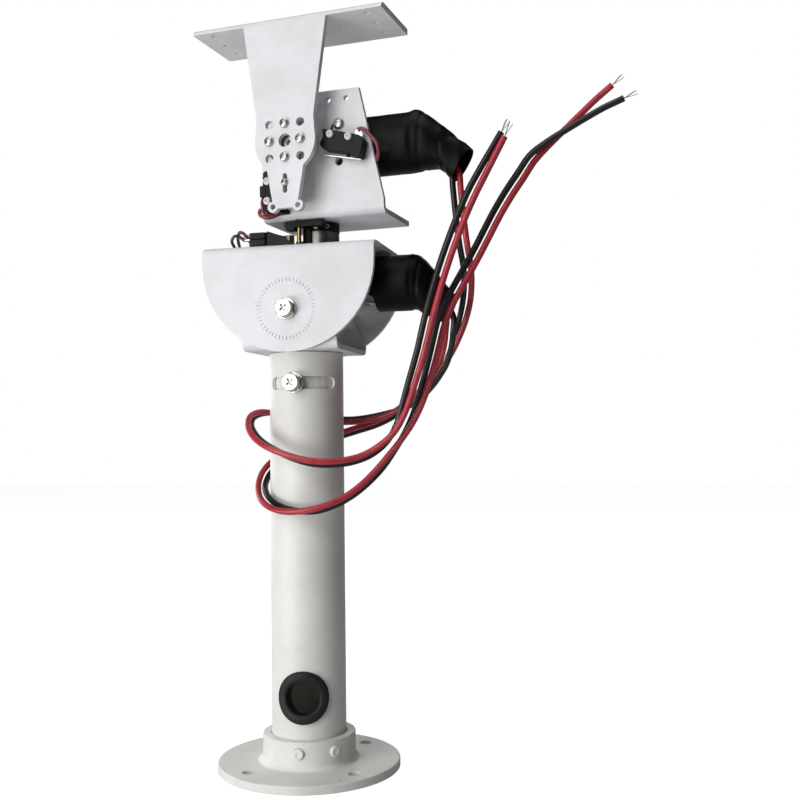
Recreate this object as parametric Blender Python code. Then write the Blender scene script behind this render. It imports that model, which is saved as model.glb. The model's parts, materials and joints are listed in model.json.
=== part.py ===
# Motorised pan and tilt mount: a slotted tube column on a round base flange, a swivelling yoke,
# a half-disc cradle that tilts in the yoke, a geared pan head and a geared tilt arm with a top plate.
# Metres, +Z up, front towards -Y. The origin is the centre of the base flange's underside.

import math

import bmesh
import bpy
from mathutils import Matrix, Vector

# Fits
CLEARANCE = 0.0003
FIT_HOLE = 0.0003

# Base flange and its welded collar
FLANGE_DIAMETER = 0.088
FLANGE_THICKNESS = 0.004
FLANGE_EDGE = 0.0006
FLANGE_HOLE_DIAMETER = 0.006
FLANGE_HOLE_CIRCLE = 0.070
FLANGE_HOLES = 4
COLLAR_WALL = 0.0044
COLLAR_TOP = 0.017
WELD_LEG = 0.002
COLLAR_SCREW_DIAMETER = 0.005
COLLAR_SCREW_HEIGHT = 0.0118
COLLAR_SCREW_ANGLES = (6.0, 51.0)
COLLAR_SCREW_PROUD = 0.0012

# Column tube; angles run about Z from the front, positive towards +X
TUBE_DIAMETER = 0.036
TUBE_WALL = 0.0015
TUBE_TOP = 0.1995
COLUMN_TURN = 10.0
SLOT_BELOW_TOP = 0.0148
SLOT_WIDTH = 0.006
SLOT_HALF_ANGLE = 57.5
GROMMET_HEIGHT = 0.0365
GROMMET_HOLE = 0.020
GROMMET_FLANGE = 0.025
GROMMET_LIP = 0.0021
GROMMET_BORE = 0.0155

# Swivel spigot and yoke
SPIGOT_WALL = 0.0032
SPIGOT_LENGTH = 0.030
YOKE_WIDTH = 0.047
YOKE_SHEET = 0.0025
YOKE_SHOULDER = 0.005
YOKE_EAR_RADIUS = 0.015
YOKE_BORE = 0.022
LOCK_THREAD = 0.005

# Cradle
PIVOT_ABOVE_TUBE = 0.0193
CRADLE_SHEET = 0.0025
CRADLE_HALF_DEPTH = 0.0278
CRADLE_RADIUS = 0.0425
CRADLE_CENTRE_RISE = 0.0223
CRADLE_TOP_RISE = 0.0308
BEND_RADIUS = 0.0015
ROSETTE_OUTER = 0.0146
ROSETTE_INNER = 0.0128
ROSETTE_DEPTH = 0.0004
ROSETTE_TEETH = 48
PIVOT_THREAD = 0.005
WIRE_HOLE_DIAMETER = 0.007
WIRE_HOLE_X = -0.033

# Hexagon head bolts and washers, M5
HEX_ACROSS_FLATS = 0.008
HEX_HEAD_HEIGHT = 0.0035
WASHER_DIAMETER = 0.010
WASHER_THICKNESS = 0.001
SPRING_WASHER_DIAMETER = 0.0088
SPRING_WASHER_THICKNESS = 0.0012

# Worm gear motors, both alike
GEARBOX_LENGTH = 0.046
GEARBOX_WIDTH = 0.032
GEARBOX_THICKNESS = 0.022
GEARBOX_CORNER = 0.003
SHAFT_FROM_MOTOR_END = 0.0285
FACE_HOLE_LENGTH = 0.033
FACE_HOLE_WIDTH = 0.018
FACE_HOLE_OFFSET = 0.022
FACE_HOLE_DIAMETER = 0.004
SHAFT_DIAMETER = 0.006
SHAFT_FLAT = 0.0006
SHAFT_OPENING = 0.012
MOTOR_DIAMETER = 0.024
MOTOR_LENGTH = 0.0175
MOTOR_AXIS_DEPTH = 0.0145

# Shrink sleeves over the motors
SLEEVE_WALL = 0.0008
SLEEVE_SLACK = 0.0004
TILT_SLEEVE_STRAIGHT = 0.0351
TILT_SLEEVE_RISE = 0.0023
PAN_SLEEVE_STRAIGHT = 0.0180
PAN_SLEEVE_RISE = 0.0002
# Past the straight part: how far its upper and lower edges run on and drop, and its half width
TILT_SLEEVE_FLAP = [
    (0.0000, 0.0000, 0.0020, -0.0003, 0.0129), (0.0060, 0.0025, 0.0090, -0.0006, 0.0115),
    (0.0170, 0.0117, 0.0135, 0.0012, 0.0075), (0.0285, 0.0215, 0.0187, 0.0072, 0.0055),
]
PAN_SLEEVE_FLAP = [
    (0.0000, 0.0000, 0.0000, -0.0003, 0.0129), (0.0045, 0.0021, 0.0050, 0.0025, 0.0115),
    (0.0115, 0.0106, 0.0095, 0.0052, 0.0085), (0.0200, 0.0211, 0.0139, 0.0073, 0.0065),
]
SLEEVE_STEPS = 18

# Microswitches, all alike; their long axis is the local X, levers on the local -Z side
SWITCH_LENGTH = 0.0198
SWITCH_THICKNESS = 0.0064
SWITCH_ABOVE_HOLES = 0.0026
SWITCH_BELOW_HOLES = 0.0066
SWITCH_HOLE_SPACING = 0.0095
SWITCH_HOLE_DIAMETER = 0.0029
SWITCH_EDGE = 0.0004
TERMINAL_WIDTH = 0.0028
TERMINAL_THICKNESS = 0.0006
TERMINAL_LENGTH = 0.0028
TERMINAL_SPACING = 0.0076
LEVER_WIDTH = 0.0030
ROLLER_LEVER_RISE = 0.0015
LEVER_SHEET = 0.0005
LEVER_HINGE_X = 0.0076
LEVER_STANDOFF = 0.0011
LEVER_LENGTH = 0.0172
LEVER_REST_ANGLE = 9.0
ROLLER_LEVER_LENGTH = 0.0135
ROLLER_LEVER_ANGLE = 22.0
ROLLER_DIAMETER = 0.0048
SWITCH_SCREW_HEAD = 0.0038
SWITCH_SCREW_THREAD = 0.0022

# Pan head
PAN_X = 0.0085
HEAD_YAW = 5.4
HEAD_RISE = 0.0137
BRACKET_SHEET = 0.0025
BRACKET_FRONT = -0.0152
BRACKET_BACK = 0.021
BRACKET_LEFT = -0.0247
BRACKET_RIGHT = 0.0382
BRACKET_RIGHT_TOP = 0.0260
BRACKET_HEIGHT = 0.0605
BRACKET_FOOT_RISE = 0.0067
BRACKET_SMALL_HOLE = 0.0026
BRACKET_SMALL_HOLES = (0.0105, 0.0197)
BRACKET_SMALL_HOLE_DROP = 0.0044
PAN_HUB_DIAMETER = 0.0176
TILT_HUB_DIAMETER = 0.012
HUB_FLANGE_DIAMETER = 0.022
HUB_FLANGE_THICKNESS = 0.0025
TRIGGER_PIN_AT = (-0.0067, -0.0121)
TRIGGER_PIN_DIAMETER = 0.0022
TRIGGER_PIN_GAP = 0.0026
TRIGGER_BLOCK_LENGTH = 0.0203
TRIGGER_BLOCK_DEPTH = 0.0046
TRIGGER_BLOCK_HEIGHT = 0.0045
TRIGGER_BLOCK_LEFT = -0.0136
PAN_SWITCH_X = -0.018
PAN_SWITCH_FRONT_Y = -0.0137
PAN_SWITCH_REAR_Y = 0.0066

# Tilt arm and top plate; the tilt axis runs along the head's Y
TILT_X = -0.0062
TILT_RISE = 0.0350
ARM_FRONT = -0.0284
ARM_SHEET = 0.003
ARM_TOP_HALF_WIDTH = 0.0214
ARM_WAIST_HALF_WIDTH = 0.0147
ARM_WAIST_RISE = 0.0107
ARM_HUB_RADIUS = 0.0156
ARM_NECK_HALF_WIDTH = 0.0095
ARM_NECK_DROP = 0.0124
ARM_TAIL_HALF_WIDTH = 0.0066
ARM_TAIL_DROP = 0.0290
ARM_EYE_RADIUS = 0.00275
ARM_EYE_HOLE = 0.0026
ARM_EYE_OFFSET = 0.0064
ARM_EYE_DROP = 0.0311
ARM_BEND_RADIUS = 0.0005
ARM_HOLE_PITCH = 0.008
ARM_HOLE_DIAMETER = 0.0042
ARM_CENTRE_HOLE = 0.0064
ARM_SLOT_WIDTH = 0.0023
ARM_SLOT_TOP = 0.0155
ARM_SLOT_BOTTOM = 0.0250
TRIGGER_SCREW_DROP = 0.020
TRIGGER_SCREW_THREAD = 0.0018
TRIGGER_SCREW_HEAD = 0.0034
TILT_SHAFT_INSET = 0.0044
SHAFT_CENTRE_HOLE = 0.0028
TRIGGER_SCREW_END = -0.0168
TOP_PLATE_LENGTH = 0.098
TOP_PLATE_BACK = 0.0086
TOP_PLATE_RISE = 0.0566
TOP_PLATE_HOLE = 0.003
TOP_PLATE_HOLE_X = 0.040
TOP_PLATE_HOLE_ROWS = (0.0047, 0.0170, 0.0293)
TOP_PLATE_INNER_HOLE_X = 0.023

# Pan-head machine screws, M3
SCREW_THREAD = 0.003
SCREW_HEAD_DIAMETER = 0.0055
SCREW_HEAD_HEIGHT = 0.0015
HUB_SCREW_HEAD = 0.0047
SCREW_LENGTH = 0.006
NUT_ACROSS_FLATS = 0.0045
NUT_HEIGHT = 0.0024
TILT_SWITCH_RIGHT = (0.0251, 0.0014)
TILT_SWITCH_RIGHT_TURN = -12.8
TILT_SWITCH_LEFT = (-0.01235, -0.0217)

# Leads: two insulated conductors side by side from each motor sleeve
CONDUCTOR_DIAMETER = 0.003
CONDUCTOR_PITCH = 0.0036
LEAD_STEP = 0.0096

TILT_LEAD_ROUTE = [
    (0.0771, -0.0048, 0.2768), (0.0776, -0.0040, 0.2687), (0.0789, -0.0010, 0.2516),
    (0.0797, 0.0060, 0.2387), (0.0783, 0.0125, 0.2267), (0.0743, 0.0175, 0.2139),
    (0.0651, 0.0245, 0.1963), (0.0505, 0.0318, 0.1815), (0.0301, 0.0368, 0.1678),
    (0.0083, 0.0365, 0.1608), (-0.0115, 0.0280, 0.1538), (-0.0230, 0.0117, 0.1445),
    (-0.0225, -0.0034, 0.1353), (-0.0144, -0.0170, 0.1285), (-0.0033, -0.0240, 0.1249),
    (0.0109, -0.0251, 0.1247), (0.0249, -0.0195, 0.1298), (0.0374, -0.0133, 0.1405),
    (0.0487, -0.0094, 0.1555), (0.0566, -0.0095, 0.1685), (0.0639, -0.0128, 0.1866),
    (0.0696, -0.0186, 0.2025), (0.0737, -0.0217, 0.2140), (0.0813, -0.0218, 0.2277),
    (0.0886, -0.0200, 0.2409), (0.1019, -0.0177, 0.2656), (0.1182, -0.0156, 0.2877),
    (0.1327, -0.0140, 0.2992),
]
TILT_LEAD_RED_END = [(0.1421, -0.0120, 0.3088), (0.1502, -0.0120, 0.3153)]
TILT_LEAD_BLACK_END = [(0.1422, -0.0165, 0.3019), (0.1554, -0.0160, 0.3076)]
PAN_LEAD_ROUTE = [
    (0.0718, 0.0010, 0.2104), (0.0706, 0.0038, 0.2055), (0.0677, 0.0088, 0.1963),
    (0.0583, 0.0167, 0.1848), (0.0451, 0.0248, 0.1744), (0.0282, 0.0275, 0.1688),
    (0.0105, 0.0262, 0.1670), (-0.0084, 0.0226, 0.1698), (-0.0217, 0.0100, 0.1712),
    (-0.0262, -0.0025, 0.1701), (-0.0245, -0.0134, 0.1647), (-0.0170, -0.0218, 0.1579),
    (-0.0071, -0.0265, 0.1530), (0.0076, -0.0275, 0.1478), (0.0194, -0.0240, 0.1466),
    (0.0316, -0.0178, 0.1485), (0.0434, -0.0148, 0.1556), (0.0505, -0.0151, 0.1657),
    (0.0557, -0.0178, 0.1784), (0.0636, -0.0251, 0.1975), (0.0693, -0.0305, 0.2146),
    (0.0766, -0.0320, 0.2365), (0.0861, -0.0325, 0.2597), (0.0961, -0.0325, 0.2788),
    (0.1006, -0.0324, 0.2873),
]
PAN_LEAD_RED_END = [(0.1044, -0.0335, 0.2898)]
PAN_LEAD_BLACK_END = [(0.1025, -0.0308, 0.2925)]
# How a pair twists: at shares of its length, the red conductor's angle from the side towards the front
TILT_LEAD_TWIST = [(0.0, 180.0), (0.11, 180.0), (0.21, 60.0), (0.33, 60.0), (0.42, 5.0),
                   (0.47, 5.0), (0.55, 115.0), (0.63, 115.0), (0.71, 35.0), (0.80, 8.0),
                   (0.92, 8.0), (0.97, -60.0), (1.0, -90.0)]
PAN_LEAD_TWIST = [(0.0, 0.0), (0.08, 0.0), (0.18, 115.0), (0.28, 115.0), (0.38, 75.0), (0.44, 75.0),
                  (0.52, 115.0), (0.60, 115.0), (0.68, 35.0), (0.80, 8.0), (1.0, 8.0)]

FRONT_FACING = Vector((math.sin(math.radians(14.0)), -math.cos(math.radians(14.0)), 0.0))
TUBE_RADIUS = TUBE_DIAMETER / 2
SLOT_HEIGHT = TUBE_TOP - SLOT_BELOW_TOP
YOKE_UNDERSIDE = TUBE_TOP + CLEARANCE
PIVOT_HEIGHT = TUBE_TOP + PIVOT_ABOVE_TUBE
CRADLE_CENTRE = PIVOT_HEIGHT + CRADLE_CENTRE_RISE
CRADLE_TOP = PIVOT_HEIGHT + CRADLE_TOP_RISE
HEAD_UNDERSIDE = CRADLE_TOP + HEAD_RISE
BRACKET_TOP = HEAD_UNDERSIDE + BRACKET_HEIGHT
BRACKET_FOOT = HEAD_UNDERSIDE + BRACKET_FOOT_RISE
TRIGGER_PIN_BOTTOM = CRADLE_TOP + TRIGGER_PIN_GAP
TILT_HEIGHT = HEAD_UNDERSIDE + TILT_RISE
TOP_PLATE_UNDERSIDE = TILT_HEIGHT + TOP_PLATE_RISE
YOKE_HALF_DEPTH = CRADLE_HALF_DEPTH - CRADLE_SHEET - CLEARANCE
GEARBOX_TOP = CRADLE_TOP - CRADLE_SHEET - CLEARANCE
BRACKET_REAR_FACE = BRACKET_FRONT + BRACKET_SHEET
ARM_BACK = ARM_FRONT + ARM_SHEET

STEEL = ("zinc_plated_steel", (0.62, 0.62, 0.60), 0.32, 1.0)
PAINT = ("white_powder_coat", (0.80, 0.80, 0.82), 0.45, 0.0)
RUBBER = ("black_rubber", (0.02, 0.02, 0.02), 0.6, 0.0)
SLEEVE_BLACK = ("black_shrink_sleeve", (0.008, 0.014, 0.014), 0.5, 0.0)
SWITCH_BLACK = ("black_switch_case", (0.015, 0.015, 0.016), 0.4, 0.0)
BRASS = ("brass", (0.72, 0.55, 0.28), 0.3, 1.0)
RED_WIRE = ("red_insulation", (0.42, 0.03, 0.04), 0.4, 0.0)
BLACK_WIRE = ("black_insulation", (0.02, 0.015, 0.015), 0.4, 0.0)
GEARBOX_STEEL = ("gearbox_steel", (0.35, 0.35, 0.36), 0.4, 1.0)


def clear_scene():
    for found in list(bpy.data.objects):
        bpy.data.objects.remove(found, do_unlink=True)


def material_of(finish):
    name, colour, roughness, metallic = finish
    material = bpy.data.materials.get(name)
    if material is None:
        material = bpy.data.materials.new(name)
        material.use_nodes = True
        shader = material.node_tree.nodes["Principled BSDF"]
        shader.inputs["Base Color"].default_value = (*colour, 1.0)
        shader.inputs["Roughness"].default_value = roughness
        shader.inputs["Metallic"].default_value = metallic
        material.diffuse_color = (*colour, 1.0)
    return material


def frame(name, place, parent=None):
    empty = bpy.data.objects.new(name, None)
    bpy.context.scene.collection.objects.link(empty)
    empty.matrix_local = place
    empty.parent = parent
    return empty


def piece(name, shape, finish, parent=None, place=None):
    """Turns a bmesh into a named object with its material, parented to a joint's empty."""
    bmesh.ops.remove_doubles(shape, verts=shape.verts, dist=1e-7)
    bmesh.ops.recalc_face_normals(shape, faces=shape.faces)
    mesh = bpy.data.meshes.new(name)
    shape.to_mesh(mesh)
    shape.free()
    mesh.shade_smooth()
    mesh.set_sharp_from_angle(angle=math.radians(32))
    mesh.materials.append(material_of(finish))
    made = bpy.data.objects.new(name, mesh)
    bpy.context.scene.collection.objects.link(made)
    made.parent = parent
    if place is not None:
        made.matrix_local = place
    return made


def combine(target, shape, operation, label):
    """Applies one Boolean with a hidden helper that shares the target's own frame."""
    helper = piece(f"{target.name}_{label}", shape, PAINT, target)
    helper.hide_render = True
    helper.display_type = "WIRE"
    modifier = target.modifiers.new(label, "BOOLEAN")
    modifier.operation = operation
    modifier.solver = "EXACT"
    modifier.object = helper


def cut(target, shape, label):
    combine(target, shape, "DIFFERENCE", label)


def join(target, shape, label):
    combine(target, shape, "UNION", label)


def circle(radius, steps, centre=(0.0, 0.0), start=0.0):
    return [
        (
            centre[0] + radius * math.cos(start + math.tau * i / steps),
            centre[1] + radius * math.sin(start + math.tau * i / steps),
        )
        for i in range(steps)
    ]


def arc(radius, first, last, steps, centre=(0.0, 0.0)):
    """Points from one angle to another, in degrees, both ends included."""
    return [
        (
            centre[0] + radius * math.cos(math.radians(first + (last - first) * i / steps)),
            centre[1] + radius * math.sin(math.radians(first + (last - first) * i / steps)),
        )
        for i in range(steps + 1)
    ]


def prism(outline, low, high, axis="Z"):
    """Extrudes a flat outline along an axis: (x, y) for Z, (x, z) for Y and (y, z) for X."""
    place = {
        "X": lambda a, b: (low, a, b),
        "Y": lambda a, b: (a, low, b),
        "Z": lambda a, b: (a, b, low),
    }[axis]
    along = Vector({"X": (1, 0, 0), "Y": (0, 1, 0), "Z": (0, 0, 1)}[axis]) * (high - low)
    shape = bmesh.new()
    face = shape.faces.new([shape.verts.new(place(a, b)) for a, b in outline])
    top = bmesh.ops.extrude_face_region(shape, geom=[face])["geom"]
    bmesh.ops.translate(shape, verts=[v for v in top if isinstance(v, bmesh.types.BMVert)], vec=along)
    return shape


def block(low, high):
    outline = [(low[0], low[1]), (high[0], low[1]), (high[0], high[1]), (low[0], high[1])]
    return prism(outline, low[2], high[2])


def merged(shapes):
    """Puts shapes that don't touch into one bmesh, for a single cutter."""
    whole = bmesh.new()
    for shape in shapes:
        mesh = bpy.data.meshes.new("joined_shape")
        shape.to_mesh(mesh)
        shape.free()
        whole.from_mesh(mesh)
        bpy.data.meshes.remove(mesh)
    return whole


def turned(profile, steps, axis="Z", centre=(0.0, 0.0, 0.0)):
    """Spins a closed outline of (radius, height) about an axis through the centre."""
    shape = bmesh.new()
    outline = [shape.verts.new((radius, 0.0, height)) for radius, height in profile]
    edges = [shape.edges.new((a, b)) for a, b in zip(outline, outline[1:] + outline[:1])]
    bmesh.ops.spin(
        shape, geom=outline + edges, cent=(0, 0, 0), axis=(0, 0, 1),
        angle=math.tau, steps=steps, use_merge=True, use_duplicate=False,
    )
    bmesh.ops.remove_doubles(shape, verts=shape.verts, dist=1e-7)
    loose = [edge for edge in shape.edges if not edge.link_faces]
    bmesh.ops.delete(shape, geom=loose, context="EDGES")
    turn = {
        "X": Matrix.Rotation(math.pi / 2, 4, "Y"),
        "Y": Matrix.Rotation(math.pi / 2, 4, "X"),
        "Z": Matrix.Identity(4),
    }[axis]
    shape.transform(Matrix.Translation(centre) @ turn)
    return shape


def rod(radius, low, high, steps, axis="Z", at=(0.0, 0.0)):
    """A cylinder along an axis; at gives the two other coordinates in the order x, y, z."""
    centre = {"X": (0.0, *at), "Y": (at[0], 0.0, at[1]), "Z": (*at, 0.0)}[axis]
    outline = {
        "X": circle(radius, steps, centre[1:]),
        "Y": circle(radius, steps, (centre[0], centre[2])),
        "Z": circle(radius, steps, centre[:2]),
    }[axis]
    return prism(outline, low, high, axis)


def wrapped(shape, radius, turn):
    """Bends a shape drawn flat, with x along the arc, -y outwards and z up, round the column."""
    reach = max(abs(vert.co.x) for vert in shape.verts)
    strip = 0.003
    for i in range(-int(reach / strip), int(reach / strip) + 1):
        geometry = shape.verts[:] + shape.edges[:] + shape.faces[:]
        bmesh.ops.bisect_plane(shape, geom=geometry, dist=1e-7, plane_co=(i * strip, 0, 0), plane_no=(1, 0, 0))
    for vert in shape.verts:
        angle = math.radians(turn) + vert.co.x / radius
        out = -vert.co.y
        vert.co = (out * math.sin(angle), -out * math.cos(angle), vert.co.z)
    return shape


def radial(turn, height):
    """The frame of a screw that points outwards from the column at this turn: its -Y is outwards."""
    return Matrix.Translation((0, 0, height)) @ Matrix.Rotation(math.radians(turn), 4, "Z")


def hexagon(across_flats):
    return circle(across_flats / 2 / math.cos(math.pi / 6), 6)


def cross_recess(width, depth, face, slot=0.0009):
    """A cross cut into a screw head whose face is at y = face, looking towards -Y."""
    half, arm = width / 2, slot / 2
    outline = [
        (half, -arm), (half, arm), (arm, arm), (arm, half), (-arm, half), (-arm, arm),
        (-half, arm), (-half, -arm), (-arm, -arm), (-arm, -half), (arm, -half), (arm, -arm),
    ]
    return prism(outline, face - 0.001, face + depth, "Y")


def hex_bolt(name, thread, length, parent, place):
    """Hexagon head with a cross recess, its bearing face at y = 0 and its shank towards +Y."""
    bolt = piece(name, prism(hexagon(HEX_ACROSS_FLATS), -HEX_HEAD_HEIGHT, 0.0, "Y"), STEEL, parent, place)
    join(bolt, rod(thread / 2, -0.001, length, 20, "Y"), "shank")
    cut(bolt, cross_recess(0.0044, 0.0014, -HEX_HEAD_HEIGHT), "recess")
    return bolt


def machine_screw(name, parent, place, length=SCREW_LENGTH, finish=STEEL,
                  head=SCREW_HEAD_DIAMETER, thread=SCREW_THREAD):
    """Low domed head with a cross recess, its bearing face at y = 0 and its shank towards +Y."""
    radius = head / 2
    dome = [(0.0, -SCREW_HEAD_HEIGHT)] + [
        (radius * math.sin(math.radians(a)), -SCREW_HEAD_HEIGHT * (0.45 + 0.55 * math.cos(math.radians(a))))
        for a in (45, 90)
    ]
    profile = dome + [(radius, 0.0), (thread / 2, 0.0), (thread / 2, length), (0.0, length)]
    outline = [(r, -y) for r, y in profile]
    screw = piece(name, turned(outline, 12, "Y"), finish, parent, place)
    cut(screw, cross_recess(head * 0.55, 0.0009, -SCREW_HEAD_HEIGHT, 0.0006), "recess")
    return screw


def washer(name, outer, bore, thickness, parent, place):
    profile = [(bore / 2, 0.0), (outer / 2, 0.0), (outer / 2, thickness), (bore / 2, thickness)]
    return piece(name, turned(profile, 24, "Y"), STEEL, parent, place)


def channel_section(half_depth, sheet, web, leg_end):
    """A bent channel seen along X: its web's outer face at z = web, its legs reaching z = leg_end."""
    up = 1.0 if leg_end > web else -1.0
    outer = BEND_RADIUS + sheet
    right_out = [(half_depth - outer + outer * math.sin(t), web + up * (outer - outer * math.cos(t)))
                 for t in (math.radians(a) for a in range(0, 91, 30))]
    right_in = [(half_depth - outer + BEND_RADIUS * math.sin(t),
                 web + up * (outer - BEND_RADIUS * math.cos(t)))
                for t in (math.radians(a) for a in range(0, 91, 30))]
    side = right_out + [(half_depth, leg_end), (half_depth - sheet, leg_end)] + right_in[::-1]
    mirrored = [(-y, z) for y, z in side[::-1]]
    return side + mirrored


def angle_section(front, back, sheet, web, leg_end, bend):
    """A bent angle seen along X: the leg's front face at y = front, the web's outer face at z = web."""
    up = 1.0 if leg_end > web else -1.0
    outer = bend + sheet
    turns = [math.radians(a) for a in range(0, 91, 30)]
    out = [(front + outer - outer * math.sin(t), web + up * (outer - outer * math.cos(t))) for t in turns]
    inside = [(front + outer - bend * math.sin(t), web + up * (outer - bend * math.cos(t))) for t in turns]
    inner_web = web + up * sheet
    return ([(back, web)] + out + [(front, leg_end), (front + sheet, leg_end)]
            + inside[::-1] + [(back, inner_web)])


def folded_sheet(name, section, half_length, outline, reach, parent, place=None):
    """Sheet metal: the bent section along X, trimmed to the outline of the flat blank seen along Y."""
    sheet = piece(name, prism(section, -half_length, half_length, "X"), PAINT, parent, place)
    combine(sheet, prism(outline, -reach, reach, "Y"), "INTERSECT", "blank")
    return sheet


def smooth_route(points, step):
    """Even points on a Catmull-Rom curve through the route's own points."""
    route = [Vector(p) for p in points]
    route = [route[0] * 2 - route[1], *route, route[-1] * 2 - route[-2]]
    fine = []
    for a, b, c, d in zip(route, route[1:], route[2:], route[3:]):
        for i in range(24):
            t = i / 24
            fine.append(0.5 * (2 * b + (c - a) * t + (2 * a - 5 * b + 4 * c - d) * t * t
                               + (3 * b - a - 3 * c + d) * t * t * t))
    fine.append(route[-2])
    total = sum((q - p).length for p, q in zip(fine, fine[1:]))
    count = max(2, round(total / step))
    even, run, target = [fine[0]], 0.0, total / count
    for p, q in zip(fine, fine[1:]):
        length = (q - p).length
        while run + length >= target - 1e-9 and len(even) < count:
            even.append(p.lerp(q, (target - run) / length))
            target += total / count
        run += length
    even.append(fine[-1])
    return even


def tube(name, points, diameter, finish, parent=None, sides=2):
    """A solid round tube along its points, as a curve with a bevel and closed ends."""
    curve = bpy.data.curves.new(name, "CURVE")
    curve.dimensions = "3D"
    curve.bevel_depth = diameter / 2
    curve.bevel_resolution = sides
    curve.use_fill_caps = True
    spline = curve.splines.new("POLY")
    spline.points.add(len(points) - 1)
    for control, point in zip(spline.points, points):
        control.co = (*point, 1.0)
    curve.materials.append(material_of(finish))
    made = bpy.data.objects.new(name, curve)
    bpy.context.scene.collection.objects.link(made)
    made.parent = parent
    return made


def twist_at(twist, share):
    """A pair's twist in degrees at a share of its length, between the listed ones."""
    for (low, first), (high, last) in zip(twist, twist[1:]):
        if share <= high:
            return first + (last - first) * (share - low) / (high - low)
    return twist[-1][1]


def lead_pair(name, route, red_end, black_end, twist, parent):
    """Two conductors twisted along one route, parting towards their own free ends."""
    middle = smooth_route(route, LEAD_STEP)
    last = len(middle) - 1
    for offset, finish, colour, end in ((CONDUCTOR_PITCH / 2, RED_WIRE, "red", red_end),
                                        (-CONDUCTOR_PITCH / 2, BLACK_WIRE, "black", black_end)):
        points = []
        for i, point in enumerate(middle):
            run = (middle[min(i + 1, last)] - middle[max(i - 1, 0)]).normalized()
            side = run.cross(FRONT_FACING).normalized()
            turn = math.radians(twist_at(twist, i / last))
            points.append(point + (side * math.cos(turn) + side.cross(run) * math.sin(turn)) * offset)
        points = smooth_route(points[:-2] + [Vector(p) for p in end], LEAD_STEP)
        tube(f"{name}_{colour}", points, CONDUCTOR_DIAMETER, finish, parent)


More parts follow.
